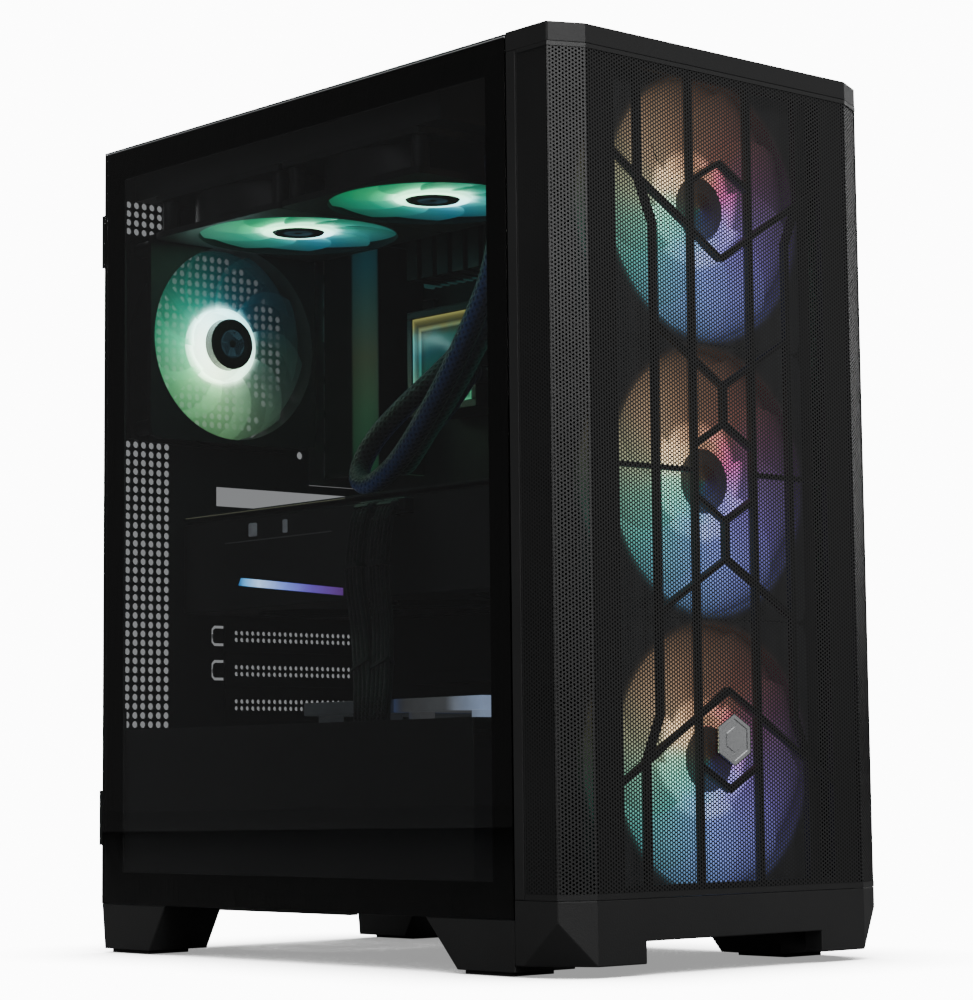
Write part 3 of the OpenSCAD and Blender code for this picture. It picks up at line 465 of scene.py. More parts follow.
def finish_piece(name, mesh, slot, materials, body="chassis", extra=False, smooth=35):
    """Puts a piece on its body, and hides the CAD node of its slot, which it replaces. An extra one leaves
    its CAD node shown instead of replacing it.

    materials is one material, or a list in the order of the shape's kinds.
    """
    piece = add_object(name, mesh)
    for material in materials if isinstance(materials, list) else [materials]:
        mesh.materials.append(material)
    if smooth:
        mesh.shade_smooth()
        mesh.set_sharp_from_angle(angle=math.radians(smooth))
    replaces = [] if extra else [slot]
    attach(piece, body)
    if replaces:
        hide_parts(*replaces)


def piece(name, shape, slot, materials, **more):
    mesh = bpy.data.meshes.new(name)
    mesh.from_pydata([Vector(p) * MM for p in shape.points], [], shape.faces)
    mesh.polygons.foreach_set("material_index", shape.kinds)
    if shape.uvs:
        mesh.uv_layers.new(name="along").data.foreach_set("uv", shape.uvs)
    mesh.validate()
    finish_piece(name, mesh, slot, materials, **more)


def plate(name, loops, thickness, place, slot, materials, **more):
    """A flat sheet, drawn in its own plane as an outline and its holes, and then placed."""
    curve = bpy.data.curves.new(name, "CURVE")
    curve.dimensions = "2D"
    curve.fill_mode = "BOTH"
    curve.extrude = thickness * MM / 2
    for loop in loops:
        spline = curve.splines.new("POLY")
        spline.points.add(len(loop) - 1)
        for point, (x, y) in zip(spline.points, loop):
            point.co = (x * MM, y * MM, 0, 1)
        spline.use_cyclic_u = True
    drawn = add_object(name, curve)
    mesh = bpy.data.meshes.new_from_object(drawn.evaluated_get(bpy.context.evaluated_depsgraph_get()))
    bpy.data.objects.remove(drawn)
    bpy.data.curves.remove(curve)
    mesh.materials.clear()
    mesh.transform(place)
    finish_piece(name, mesh, slot, materials, smooth=None, **more)


def facing_front(y):
    """Places a drawing of (x, z) upright, with its middle plane at y millimetres."""
    return at(0, y * MM, 0) @ TO_FRONT


def lying_flat(z):
    return at(0, 0, z * MM)


def smooth_path(points, steps):
    """A Catmull-Rom curve through the points."""
    pts = [Vector(p) for p in points]
    path = []
    for p, q, r, s in zip(pts[:1] + pts, pts, pts[1:], pts[2:] + pts[-1:]):
        for k in range(steps):
            t = k / steps
            path.append(0.5 * (2 * q + (r - p) * t + (2 * p - 5 * q + 4 * r - s) * t * t
                               + (3 * q - p - 3 * r + s) * t ** 3))
    return path + pts[-1:]


# ---- the front

MESH_T = 0.8
MESH_RIM = 1.6  # plain sheet above and below the holes
HOLE_R = 0.66
HOLE_STEP = 1.95  # between holes up a column
COLUMN_STEP = 1.7  # between columns
CHAMFER_W = 18  # how far a chamfer reaches across the front
FOLD = [(-HALF_W, 31.4), (-HALF_W, 8.5), (-HALF_W + CHAMFER_W, 0)]


def perforated(columns, rows, margin):
    """A sheet of six-sided holes in staggered columns, as points (u, v) and faces."""
    points, faces = [], []
    for i in range(columns):
        for j in range(rows):
            points += circle(i * COLUMN_STEP, (j + 0.5 * (i % 2)) * HOLE_STEP, HOLE_R, 6)

    def hole(i, j):
        """The six points of a hole, or nothing past the edge of the sheet."""
        first = (i * rows + j) * 6
        return range(first, first + 6) if i < columns and 0 <= j < rows else None

    for i in range(columns):
        for j in range(rows):
            here, above = hole(i, j), hole(i, j + 1)
            up, down = hole(i + 1, j + i % 2), hole(i + 1, j + i % 2 - 1)
            if above:
                faces.append([here[1], above[5], above[4], here[2]])
            if up:
                faces.append([here[0], up[4], up[3], here[1]])
                if above:
                    faces.append([here[1], up[3], above[5]])
            if down:
                faces.append([here[5], down[3], down[2], here[0]])
                if up:
                    faces.append([here[0], down[2], up[4]])
    # a straight margin along the first and the last column
    last = columns - 1
    for i, u, near in ((0, -margin, (2, 3, 4)), (last, last * COLUMN_STEP + margin, (1, 0, 5))):
        for j in range(rows):
            v = (j + 0.5 * (i % 2)) * HOLE_STEP
            level = len(points)
            points += [(u, v), (u, v + HOLE_STEP / 2)]
            high, side, low = (hole(i, j)[k] for k in near)
            ring = [[level, side, high, level + 1]]
            if j:
                ring.append([level, level - 1, low, side])
            if j + 1 < rows:
                ring.append([level + 1, high, hole(i, j + 1)[near[2]]])
            faces += ring if i else [f[::-1] for f in ring]
    return points, faces


def build_front_mesh():
    """The folded perforated sheet: a front facet, and a chamfer with a side flank at each corner."""
    low, high = span("front_mesh")
    z0, z1 = low.z + MESH_RIM, high.z - MESH_RIM
    rows = int((z1 - z0) / HOLE_STEP) + 1

    def facet(shape, a, b, mirrored):
        run = Vector(b) - Vector(a)
        length = run.length
        across, back = run.normalized()
        columns = int(length / COLUMN_STEP)
        start = (length - (columns - 1) * COLUMN_STEP) / 2
        points, faces = perforated(columns, rows, start)
        placed = []
        for u, v in points:
            x = a[0] + across * (u + start) - back * MESH_T / 2
            d = a[1] + back * (u + start) + across * MESH_T / 2
            placed.append((-x if mirrored else x, depth(d), z0 + v))
        shape.add(placed, [f[::-1] for f in faces] if mirrored else faces)

    def rims(shape, corners, mirrored):
        """Plain folded margins along the top and the bottom."""
        n = len(corners)
        for levels in ((low.z, z0 + 1.2), (z0 + (rows - 1.0) * HOLE_STEP, high.z)):
            shape.add([(-x if mirrored else x, depth(d), z) for z in levels for x, d in corners],
                      [[k, k + 1, n + k + 1, n + k] for k in range(n - 1)])

    face = [FOLD[2], (-FOLD[2][0], 0)]
    for name, corners, mirrored in (("face", face, False), ("left_corner", FOLD, False),
                                    ("right_corner", FOLD, True)):
        shape = Shape()
        for a, b in zip(corners, corners[1:]):
            facet(shape, a, b, mirrored)
        rims(shape, corners, mirrored)
        piece("front_mesh_" + name, shape, "front_mesh", MESH_PAINT, body="front_panel", smooth=None)


def build_corner_strips():
    """An upright strip in each fold between chamfer and flank, in front of the side strips' lips."""
    low, high = span("front_mesh")
    outline = [(110.3, depth(8.1)), (111.6, depth(8.65)), (111.6, depth(9.4)), (110.3, depth(9.4))]
    plate("front_corner_strips", [outline, [(-x, y) for x, y in outline]], high.z - low.z,
          lying_flat((low.z + high.z) / 2), "front_side_strips", LATTICE, body="front_panel", extra=True)


def build_badge():
    """A plain six-sided badge with a raised rim and a smaller raised hexagon."""
    low, high = span("front_badge")
    place = at((low.x + high.x) / 2, high.y, (low.z + high.z) / 2) @ TO_FRONT
    t = high.y - low.y
    shape = Shape()
    shape.lathe([(0.1, 0), (12.7, 0), (12.95, 0.2), (12.95, t - 0.25), (12.6, t), (10.6, t), (10.2, t - 0.5),
                 (6.6, t - 0.5), (6.2, t), (0.1, t)], 6, place @ turned(30, "Z"))
    piece("front_badge_plate", shape, "front_badge", BADGE_METAL, body="front_panel", smooth=20)


def build_base_deck():
    """Closes the hollow base of the front panel, just under the intake fans."""
    inner, outer, back, thickness = 100.3, 91.7, depth(39), 1.8
    outline = [(-inner, back), (-inner, depth(16.3)), (-outer, depth(12.2)), (outer, depth(12.2)),
               (inner, depth(16.3)), (inner, back)]
    z = span("front_fan_frames")[0].z - 0.5 - thickness / 2
    plate("front_base_deck", [outline], thickness, lying_flat(z), "front_base", MOULDING,
          body="front_panel", extra=True)


# ---- fans

BLADES, BLADE_T, BLADE_SWEEP = 9, 1.2, 0.55
LABEL_R = 8.4
INTAKE_SIZE, FAN_SIZE = 140, 120
FLANGE, BARREL_TOP, FRAME_T = 3.6, 21.4, 25  # heights in a case fan's frame


def spin_of(rotor):
    return JOINTS[rotor.replace("_rotor", "") + "_spin"]


def fan_axis(rotor):
    return Vector(spin_of(rotor)["pos_m"]) / MM


def rotor_piece(node, kind, place, tip_r, hub_r, materials, rise=8.0, middle=7.5, hub_z=(2.2, 19.6),
                cap_r=15.0, sunk=1.5, cover=1.25):
    """Hub and swept blades. In its own frame z runs from the intake face to the struts.

    Materials: the frosted ring and blades, the dark cap, and the label on the cap.
    """
    shape = Shape()
    front, back = hub_z
    # frosted ring that carries the blades
    shape.lathe([(cap_r + 0.3, front + sunk), (hub_r - 0.8, front + sunk), (hub_r, front + sunk + 0.8),
                 (hub_r, back), (hub_r - 1.4, back), (hub_r - 1.4, front + sunk + 2),
                 (cap_r + 0.3, front + sunk + 2)], 64, place, closed=True)
    n, m = 11, 9  # points out along a blade and across it
    rim = (list(range(m)) + [i * m + m - 1 for i in range(1, n)]
           + [(n - 1) * m + k for k in range(m - 2, -1, -1)] + [i * m for i in range(n - 2, 0, -1)])
    faces = [[a, c, n * m + c, n * m + a] for a, c in zip(rim, rim[1:] + rim[:1])]
    for i in range(n - 1):
        for k in range(m - 1):
            a = i * m + k
            faces.append([a, a + m, a + m + 1, a + 1])
            faces.append([n * m + a, n * m + a + 1, n * m + a + m + 1, n * m + a + m])
    for b in range(BLADES):
        grid = []
        for side in (-0.5, 0.5):
            for i in range(n):
                s = i / (n - 1)
                r = hub_r - 0.6 + (tip_r - hub_r + 0.6) * s
                for k in range(m):
                    t = k / (m - 1)
                    angle = 2 * math.pi * (b + (t - 0.5) * cover) / BLADES + BLADE_SWEEP * s * s
                    bow = 0.12 * rise * math.sin(math.pi * t)
                    z = middle + (t - 0.5) * rise * min(1, 0.3 + 2.8 * s) + bow + side * BLADE_T
                    grid.append(place @ Vector((r * math.cos(angle), r * math.sin(angle), z)))
        shape.add(grid, faces)
    # dark cap and the shaft
    shape.kind = 1
    shape.lathe([(LABEL_R, front + 0.2), (LABEL_R + 0.4, front), (cap_r - 0.8, front), (cap_r, front + 0.8),
                 (cap_r, back - 0.6), (cap_r - 1.4, back - 0.6), (cap_r - 1.4, front + 3.2),
                 (1.5, front + 3.2), (1.5, back + 1.2), (0.1, back + 1.2)], 48, place)
    shape.lathe([(0.1, front + 0.1), (2.1, front + 0.1), (2.3, front + 0.35)], 24, place)
    shape.kind = 2
    shape.lathe([(2.3, front + 0.35), (LABEL_R, front + 0.35), (LABEL_R, front + 0.2), (2.3, front + 0.2)],
                48, place, closed=True)
    piece(f"{node}_{kind}", shape, node, materials, body=spin_of(node)["child"], smooth=40)


INTAKE_INNER = [
    (0, (0.62, 0.24, 0.8), 1.15), (0.07, (0.85, 0.12, 0.48), 1), (0.14, (0.95, 0.2, 0.28), 0.95),
    (0.19, (0.9, 0.38, 0.25), 0.9), (0.25, (0.8, 0.4, 0.22), 0.6), (0.31, (0.9, 0.52, 0.28), 0.9),
    (0.38, (1, 0.66, 0.36), 1.7), (0.44, (0.95, 0.74, 0.44), 1.65), (0.5, (0.42, 0.9, 0.62), 1.45),
    (0.56, (0.26, 0.86, 0.66), 1.4), (0.63, (0.22, 0.76, 0.76), 1.3), (0.69, (0.24, 0.62, 0.95), 1.2),
    (0.77, (0.4, 0.54, 1), 1.35), (0.88, (0.34, 0.32, 0.98), 1.15), (0.94, (0.42, 0.34, 0.95), 1.35),
    (1, (0.62, 0.24, 0.8), 1.15)]
INTAKE_OUTER = [
    (0, (0.34, 0.2, 0.6), 0.38), (0.07, (0.44, 0.14, 0.34), 0.28), (0.14, (0.54, 0.2, 0.16), 0.28),
    (0.2, (0.6, 0.28, 0.18), 0.3), (0.26, (0.62, 0.34, 0.2), 0.28), (0.31, (0.72, 0.42, 0.24), 0.46),
    (0.4, (0.8, 0.55, 0.32), 0.52), (0.47, (0.62, 0.68, 0.4), 0.55), (0.53, (0.26, 0.7, 0.48), 0.72),
    (0.6, (0.12, 0.62, 0.55), 0.85), (0.69, (0.16, 0.46, 0.78), 0.95), (0.78, (0.22, 0.32, 0.9), 1.05),
    (0.86, (0.24, 0.26, 0.86), 0.85), (0.93, (0.28, 0.2, 0.78), 0.62), (1, (0.34, 0.2, 0.6), 0.38)]
EXHAUST_INNER = [
    (0, (0.55, 1, 0.8), 0.55), (0.15, (0.4, 0.95, 0.95), 0.55), (0.35, (0.6, 1, 0.9), 0.9),
    (0.5, (0.75, 1, 0.8), 1), (0.7, (0.75, 1, 0.65), 1), (0.85, (0.65, 1, 0.7), 0.7),
    (1, (0.55, 1, 0.8), 0.55)]
EXHAUST_OUTER = [
    (0, (0.1, 0.34, 0.26), 0.1), (0.07, (0.02, 0.24, 0.34), 0.08), (0.14, (0.01, 0.22, 0.36), 0.1),
    (0.24, (0.01, 0.3, 0.34), 0.18), (0.36, (0.02, 0.5, 0.34), 0.45), (0.5, (0.05, 0.72, 0.34), 0.85),
    (0.62, (0.2, 0.82, 0.3), 1), (0.74, (0.34, 0.82, 0.34), 0.8), (0.84, (0.3, 0.6, 0.34), 0.38),
    (0.92, (0.2, 0.42, 0.3), 0.16), (1, (0.1, 0.34, 0.26), 0.1)]
RADIATOR_INNER = [
    (0, (0.4, 0.9, 0.95), 0.8), (0.2, (0.4, 0.95, 0.7), 0.6), (0.5, (0.45, 1, 0.55), 1),
    (0.75, (0.5, 1, 0.6), 0.9), (1, (0.4, 0.9, 0.95), 0.8)]
RADIATOR_OUTER = [
    (0, (0.05, 0.52, 0.52), 0.5), (0.1, (0.04, 0.45, 0.62), 0.5), (0.22, (0.02, 0.5, 0.36), 0.5),
    (0.45, (0.01, 0.62, 0.22), 0.85), (0.62, (0.02, 0.62, 0.26), 0.7), (0.8, (0.03, 0.5, 0.32), 0.4),
    (0.92, (0.05, 0.52, 0.45), 0.45), (1, (0.05, 0.52, 0.52), 0.5)]
INTAKE_HALO = [(16, 0.9), (28, 1), (32, 0.9), (50, 0.68), (62, 0.4), (66, 0.2), (68.5, 0.1), (70, 0)]
EXHAUST_HALO = [(14, 1), (22, 0.9), (25, 0.36), (33, 0.17), (44, 0.09), (57, 0.04)]
RADIATOR_HALO = [(14, 1), (20, 1), (26, 0.4), (36, 0.15), (50, 0.08), (57, 0.05)]
FRAME_HALO = [(0, 0), (63, 0), (65, 1), (68, 1), (70, 0.15), (72, 0)]


def add_housing(shape, place, size):
    """A case fan's frame: two flanges joined by a barrel and corner posts, with the motor's struts."""
    bore, half, corner, sides = size / 2 - 2.5, size / 2, 5, 96

    def ring(z, round_one):
        points = []
        for way in map(Vector, wheel(sides)):
            reach = bore
            if not round_one:
                reach = half / max(abs(way.x), abs(way.y))
                if min(abs(way.x), abs(way.y)) * reach > half - corner:
                    centre = Vector([math.copysign(half - corner, part) for part in way])
                    along = way.dot(centre)
                    reach = along + math.sqrt(along ** 2 - centre.length_squared + corner ** 2)
            points.append(place @ Vector((*way * reach, z)))
        return points

    for a, b in ((0, FLANGE), (BARREL_TOP, FRAME_T)):
        shape.loft([ring(a, True), ring(a, False), ring(b, False), ring(b, True)], closed=True)

    def barrel(inner, outer, count, where):
        shape.lathe([(inner, FLANGE), (outer, FLANGE), (outer, BARREL_TOP), (inner, BARREL_TOP)],
                    count, where, closed=True)

    barrel(bore, bore + 1.5, sides, place)
    for sx in (-1, 1):
        for sy in (-1, 1):
            barrel(2.3, 4.6, 20, place @ at(sx * (half - 7.5), sy * (half - 7.5), 0))
    shape.lathe([(1.7, 8), (4, 8), (4, 22), (19, 22), (19, 24.4), (18.4, 25), (1.7, 25)], 48, place,
                closed=True)
    for k in range(4):
        strut = place @ turned(90 * k + 45, "Z")
        shape.loft([[strut @ Vector((r, w, z)) for w, z in ((-2.5, 22), (2.5, 22), (2.5, 25), (-2.5, 25))]
                    for r in (18, bore + 0.5)], caps=True)


def build_fans():
    shapes = {node: Shape() for node in ("front_fan_frames", "rear_fan_frame", "top_fan_frames")}
    first_z, second_z = (fan_axis(f"front_fan_rotor_{i}").z for i in (1, 2))
    frame_look = glow("intake_frame", (0, 0, first_z), "XZ", INTAKE_OUTER, INTAKE_OUTER, FRAME_HALO, 0.16,
                      every=second_z - first_z)

    def housed(rotor, frame_node, size):
        """Adds a fan's frame, and gives its place and its axis."""
        axis, low = fan_axis(rotor), span(frame_node)[0]
        if frame_node == "top_fan_frames":
            place, centre = at(axis.x, axis.y, low.z), ((axis.x, axis.y, 0), "XY")
        else:
            place, centre = at(axis.x, low.y, axis.z) @ TO_REAR, ((axis.x, 0, axis.z), "XZ")
        add_housing(shapes[frame_node], place, size)
        return place, centre

    for i in (1, 2, 3):
        place, centre = housed(f"front_fan_rotor_{i}", "front_fan_frames", INTAKE_SIZE)
        lit = glow(f"intake_glow_{i}", *centre, INTAKE_INNER, INTAKE_OUTER, INTAKE_HALO, 1.5)
        dim = glow(f"intake_hub_{i}", *centre, INTAKE_OUTER, INTAKE_OUTER, [(0, 1), (20, 1)], 0.16)
        rotor_piece(f"front_fan_rotor_{i}", "lit", place, 66.8, 22, [lit, dim, dim], cap_r=16.5, sunk=0.8)
    place, centre = housed("rear_fan_rotor", "rear_fan_frame", FAN_SIZE)
    lit = glow("exhaust_glow", *centre, EXHAUST_INNER, EXHAUST_OUTER, EXHAUST_HALO, 14.0, alpha=0.42,
               edge=(21, 27))
    # painted light: the hub label glows faintly teal, as if lit by the fans
    label = faint("hub_label_painted_light", (0.04, 0.11, 0.14), 0.72, 1.08, 300, (1, 0.7), 0.8)
    rotor_piece("rear_fan_rotor", "lit", place, 56.8, 22, [lit, HUB_BLACK, label], rise=7.0, middle=12.5,
                sunk=6.5)
    for i in (1, 2):
        place, centre = housed(f"top_fan_rotor_{i}", "top_fan_frames", FAN_SIZE)
        lit = glow(f"radiator_glow_{i}", *centre, RADIATOR_INNER, RADIATOR_OUTER, RADIATOR_HALO, 10.0,
                   edge=(19, 28))
        rotor_piece(f"top_fan_rotor_{i}", "lit", place, 56.8, 22, [lit, HUB_BLACK, label], rise=2.6,
                    middle=3.9, hub_z=(1.6, 19.6), sunk=0.6)
    for node, shape in shapes.items():
        look = frame_look if node == "front_fan_frames" else FAN_BLACK
        piece(node + "_housing", shape, node, look, smooth=40)
    dark = [coated("card_fan_plastic", (0.01, 0.01, 0.011), (0.02, 0.02, 0.021), 0.35), HUB_BLACK, HUB_BLACK]
    for i in (1, 2, 3):
        node = f"gpu_fan_rotor_{i}"
        axis = fan_axis(node)
        rotor_piece(node, "blades", at(axis.x, axis.y, span(node)[0].z - 2), 40.5, 15.5, dark, rise=6.5,
                    middle=8.0, hub_z=(2.2, 12.6), cap_r=13.5, cover=0.9)
    node = "psu_fan_rotor"
    axis = fan_axis(node)
    place = at(axis.x, axis.y, span(node)[1].z + 2) @ turned(180, "X")
    rotor_piece(node, "blades", place, 57, 22.5, dark, rise=7.5, middle=9.0, hub_z=(2.2, 15.6), cap_r=19.5,
                cover=0.85)


# ---- the rear

SLOT_PITCH = 20.32
TAB_X = -29.3  # middle of the slots' screw tabs
VENT_STEP = 5.25  # up the panel
VENT_ACROSS = 5.45  # across it
VENT_R = 2.0


def build_rear():
    """The rear panel with its round holes, and the perforated slot covers."""
    low, high = span("rear_panel")
    fan = fan_axis("rear_fan_rotor")
    cover = span("slot_covers")
    slot_1 = cover[1].z - 9.2 + 4 * SLOT_PITCH
    sockets, supply = span("io_ports"), span("psu_case")
    x0, grid_z = low.x + 12.6, slot_1 + 28.8
    holes = []

    def vents(columns, steps, least=0, most=math.inf):
        """Round holes on the grid, within these distances from the fan's axis."""
        for i in range(columns):
            for k in steps:
                x, z = x0 + i * VENT_ACROSS, grid_z + k * VENT_STEP
                if least <= math.hypot(x - fan.x, z - fan.z) < most:
                    holes.append(circle(x, z, VENT_R))

    vents(6, range(0, -32, -1))
    vents(1, range(3, 20))
    vents(6, range(24, 28), least=62)
    vents(24, range(3, 26), most=56)
    holes += [circle(fan.x + sx * 52.5, fan.z + sz * 52.5, 2.2) for sx in (-1, 1) for sz in (-1, 1)]
    holes += [rectangle((sockets[0].x, 82.2), (275, 433.3)), circle(31.4, 293, 2.3)]
    for k in range(7):
        z = slot_1 - k * SLOT_PITCH
        holes.append(rectangle((cover[0].x + 1.5 if k else TAB_X - 2, cover[1].x - 3),
                               (z - 8, z + 8) if k else (z - 4, z + 7.5)))
        if k in (3, 4, 5):
            holes.append([(TAB_X + dx, z + dz) for dx, dz in (
                (3.8, 6), (-3.4, 6), (-5.4, 4), (-5.4, -4), (-3.4, -6), (3.8, -6),
                (3.8, -4.4), (-2.6, -4.4), (-3.8, -3.2), (-3.8, 3.2), (-2.6, 4.4), (3.8, 4.4))])
    holes.append(rectangle((supply[0].x + 3, supply[1].x - 3), (supply[0].z + 3, supply[1].z - 3)))
    screw = span("glass_panel_screws")
    holes += [circle(sx * abs(screw[0].x + screw[1].x) / 2, z, 1.8)
              for sx in (-1, 1) for z in (screw[0].z + 5, screw[1].z - 5)]
    plate("rear_panel_sheet", [rectangle((low.x, high.x), (low.z, high.z)), *holes], high.y - low.y,
          facing_front((low.y + high.y) / 2), "rear_panel", BLACK_STEEL)
    for k in (4, 5, 6):
        z = slot_1 - k * SLOT_PITCH
        holes = [circle(-17.2 + 4.06 * i, z + dz, 1.35, 10) for i in range(22) for dz in (2.04, -2.04)]
        plate(f"slot_cover_{k - 3}", [rectangle((cover[0].x, cover[1].x), (z - 9.2, z + 9.2)), *holes],
              cover[1].y - cover[0].y, facing_front((cover[0].y + cover[1].y) / 2), "slot_covers",
              SATIN_BLACK)


def build_port_openings():
    """Dark openings in the rear connectors, drawn as flat sheets of painted shade where the recesses would
    be, with a tongue in each flat one.
    """
    low, high = span("io_ports")
    middle, first_z, row_step = high.x - 16.7, low.z + 13.7, 21
    openings = [circle(middle + dx, first_z, 3.1, 20) for dx in (-10, 0, 10)]
    tongues = []

    def flat(dx, row, half_x=2.9, half_z=6.5, tongue=(-1, 0.8, 5.2)):
        x, z = middle + dx, first_z + row * row_step
        openings.append(rectangle((x - half_x, x + half_x), (z - half_z, z + half_z)))
        if tongue:
            shift, wide, tall = tongue
            tongues.append(rectangle((x + shift - wide, x + shift + wide), (z - tall, z + tall)))

    for row in (1, 2, 3, 6):
        for dx in (-6, 6):
            flat(dx, row)
    flat(-4, 4, 7, 5.5, tongue=None)
    flat(9, 4)
    flat(0, 5, 3, 7, tongue=(0, 0.7, 5.8))
    # the openings are flat dark sheets: painted shade in place of the ports' recesses
    for name, shapes, rise, look in (("port_openings_painted_shade", openings, 0.1, HUB_BLACK),
                                     ("port_tongues", tongues, 0.3, DARK_STEEL)):
        plate(name, shapes, 0.3, facing_front(high.y + rise), "io_ports", look, extra=True)


def build_thumbscrews():
    """Knurled heads, with a collar and a thread."""
    for body in ("glass_panel", "right_panel"):
        low, high = span(body + "_screws")
        length = high.y - low.y
        shape = Shape()
        for z in (low.z + 5, high.z - 5):
            place = at((low.x + high.x) / 2, low.y, z) @ TO_REAR
            rings = []
            for r, t in ((0.6, 0), (1.5, 0.6), (1.5, 6), (3.6, 6.1), (3.9, 6.4), (3.9, 7.1), (4.4, 7.3),
                         (4.95, 7.9), (4.95, length - 0.8), (4.4, length), (2.4, length), (2, length - 0.8),
                         (0.3, length - 0.8)):
                groove = 0.28 if 7.5 < t < length - 0.3 else 0
                rings.append([place @ Vector(((r - groove * (k % 2)) * c, (r - groove * (k % 2)) * s, t))
                              for k, (c, s) in enumerate(wheel(56))])
            shape.loft(rings, caps=True)
        piece(body + "_screws_knurled", shape, body + "_screws", SATIN_BLACK, body=body, smooth=30)


# ---- inside

FIT_X, FIT_D = PUMP[0].x, PUMP[0].y - FRONT + 5  # where the hoses leave the pump
PORT_X, PORT_D = (RADIATOR[0].x + RADIATOR[1].x) / 2, RADIATOR[0].y - FRONT + 7
HOSES = (  # height at the pump, the way between, x at the radiator
    (9, [(28, 229, 346), (20, 221, 341), (10, 219, 332), (3, 228, 321), (-2, 250, 306), (-4, 272, 291),
         (-6, 284, 276), (-12, 278, 265), (-18, 258, 262), (-22, 232, 272), (-26, 204, 292),
         (-30, 172, 322), (-36, 138, 360), (-46, 116, 392)], -16),
    (-13, [(29, 231, 325), (22, 227, 319), (16, 228, 311), (14, 238, 301), (11, 250, 291), (7, 257, 282),
           (1, 257, 274), (-4, 245, 274), (-8, 222, 290), (-10, 196, 312), (-12, 168, 340),
           (-14, 136, 370), (-18, 115, 394)], 16))


def build_hoses():
    shape, collars = Shape(), Shape()
    for dz, way, dx in HOSES:
        z, x = PUMP_CENTRE.z + dz, PORT_X + dx
        ends = (x, PORT_D, 412), (x, PORT_D, RADIATOR[0].z)
        route = [(FIT_X, FIT_D, z), (FIT_X - 4, FIT_D, z), *way, *ends]
        path = smooth_path([(x, depth(d), z) for x, d, z in route], 8)
        shape.tube(path, 6.0, 24)
        for part in (path[:5], path[-5:]):
            collars.tube(part, 6.9, 32)
    # the sheen paints blue and green fan light reflected along the hoses' edges
    braid = braided("hose_braid", (0.006, 0.006, 0.008), (0.045, 0.047, 0.055), 10, 0.22,
                    ((0.04, 0.1, 0.36), (0.02, 0.22, 0.15), 0.3))
    piece("coolant_hoses_braided", shape, "coolant_hoses", braid, smooth=60)
    piece("hose_collars", collars, "pump_block", DARK_STEEL, extra=True, smooth=40)


def build_power_cables():
    """Two bundles of eight sleeved wires each, held by combs, from the card down through the shroud."""
    low, high = span("power_cables")
    shroud_z = span("psu_shroud")[1].z
    x0, top = span("gpu_shroud")[0].x, span("gpu_backplate")[1].z
    plug_d, bottom_d, bottom_x = high.y - FRONT - 29, low.y - FRONT + 5, low.x + 5
    wires, combs = Shape(), Shape()
    for bundle in (0, 1):
        d, end = plug_d + 20 * bundle, bottom_d + 13 * bundle
        path = smooth_path([(x, depth(y), z) for x, y, z in (
            (x0 - 6, d, top - 8.8), (x0 - 9.5, d, top - 11), (x0 - 13, d, top - 20), (x0 - 16, d, top - 45),
            (x0 - 19, (3 * d + end) / 4, top - 75), (x0 - 31, (d + 3 * end) / 4, shroud_z + 22),
            (bottom_x, end, shroud_z + 4), (bottom_x, end, shroud_z - 16))], 7)
        frames = []
        for p, run in zip(path, directions(path)):
            wide = Vector((0, 1, 0))
            wide = (wide - run * wide.dot(run)).normalized()
            frames.append((p, wide, run.cross(wide), run))
        for row in (-0.5, 0.5):
            for col in (-1.5, -0.5, 0.5, 1.5):
                wires.tube([p + w * col * 3.1 + o * row * 3.1 for p, w, o, _ in frames], 1.45, 10)
        for p, w, o, run in (frames[6], frames[20], frames[33]):
            combs.loft([[p + run * step + w * a * 6.6 + o * b * 3.7
                         for a, b in ((-1, -0.6), (-0.85, -1), (0.85, -1), (1, -0.6), (1, 0.6), (0.85, 1),
                                      (-0.85, 1), (-1, 0.6))] for step in (-1.1, 1.1)], caps=True)
        combs.block((x0 - 6, x0 + 3.9), (depth(d - 9), depth(d + 9)), (top - 12.5, top - 5.1), 0.6)
    sleeve = braided("wire_sleeve", (0.004, 0.004, 0.005), (0.022, 0.022, 0.025), 5, 0.45)
    piece("power_cable_wires", wires, "power_cables", sleeve, smooth=60)
    piece("power_cable_combs", combs, "power_cables", BLACK_PARTS, extra=True)


def build_board_parts():
    """Chips, capacitors and chokes on the motherboard."""
    face = span("motherboard_tray")[0].x - 8  # the side of the board that carries the parts
    metal, chips = Shape(), Shape()
    upper = [(279 + 7.2 * k, 394.5, 2.5, 6) for k in range(7)]
    lower = [(160 + 7 * k, 268, 3.1, 7.5) for k in range(5)]
    for d, z, r, tall in [*upper, *lower, (337, 388, 4, 8)]:
        metal.lathe([(0.1, 0), (r, 0), (r, tall - 0.5), (r - 0.5, tall), (0.1, tall)], 20,
                    at(face, depth(d), z) @ turned(-90, "Y"))
    for k in range(8):
        chips.block((face - 4, face + 0.2), (depth(318), depth(328)), (306 + 10.2 * k, 314 + 10.2 * k), 0.3)
    for k in range(6):
        for m in range(3):
            chips.block((face - 1.4, face + 0.2), (depth(156 + 12 * k), depth(163 + 12 * k)),
                        (140 + 9 * m, 145 + 9 * m), 0.2)
    piece("board_capacitors", metal, "motherboard", CAN_TEAL_LIGHT, extra=True, smooth=40)
    piece("board_chips", chips, "motherboard", BLACK_PARTS, extra=True)


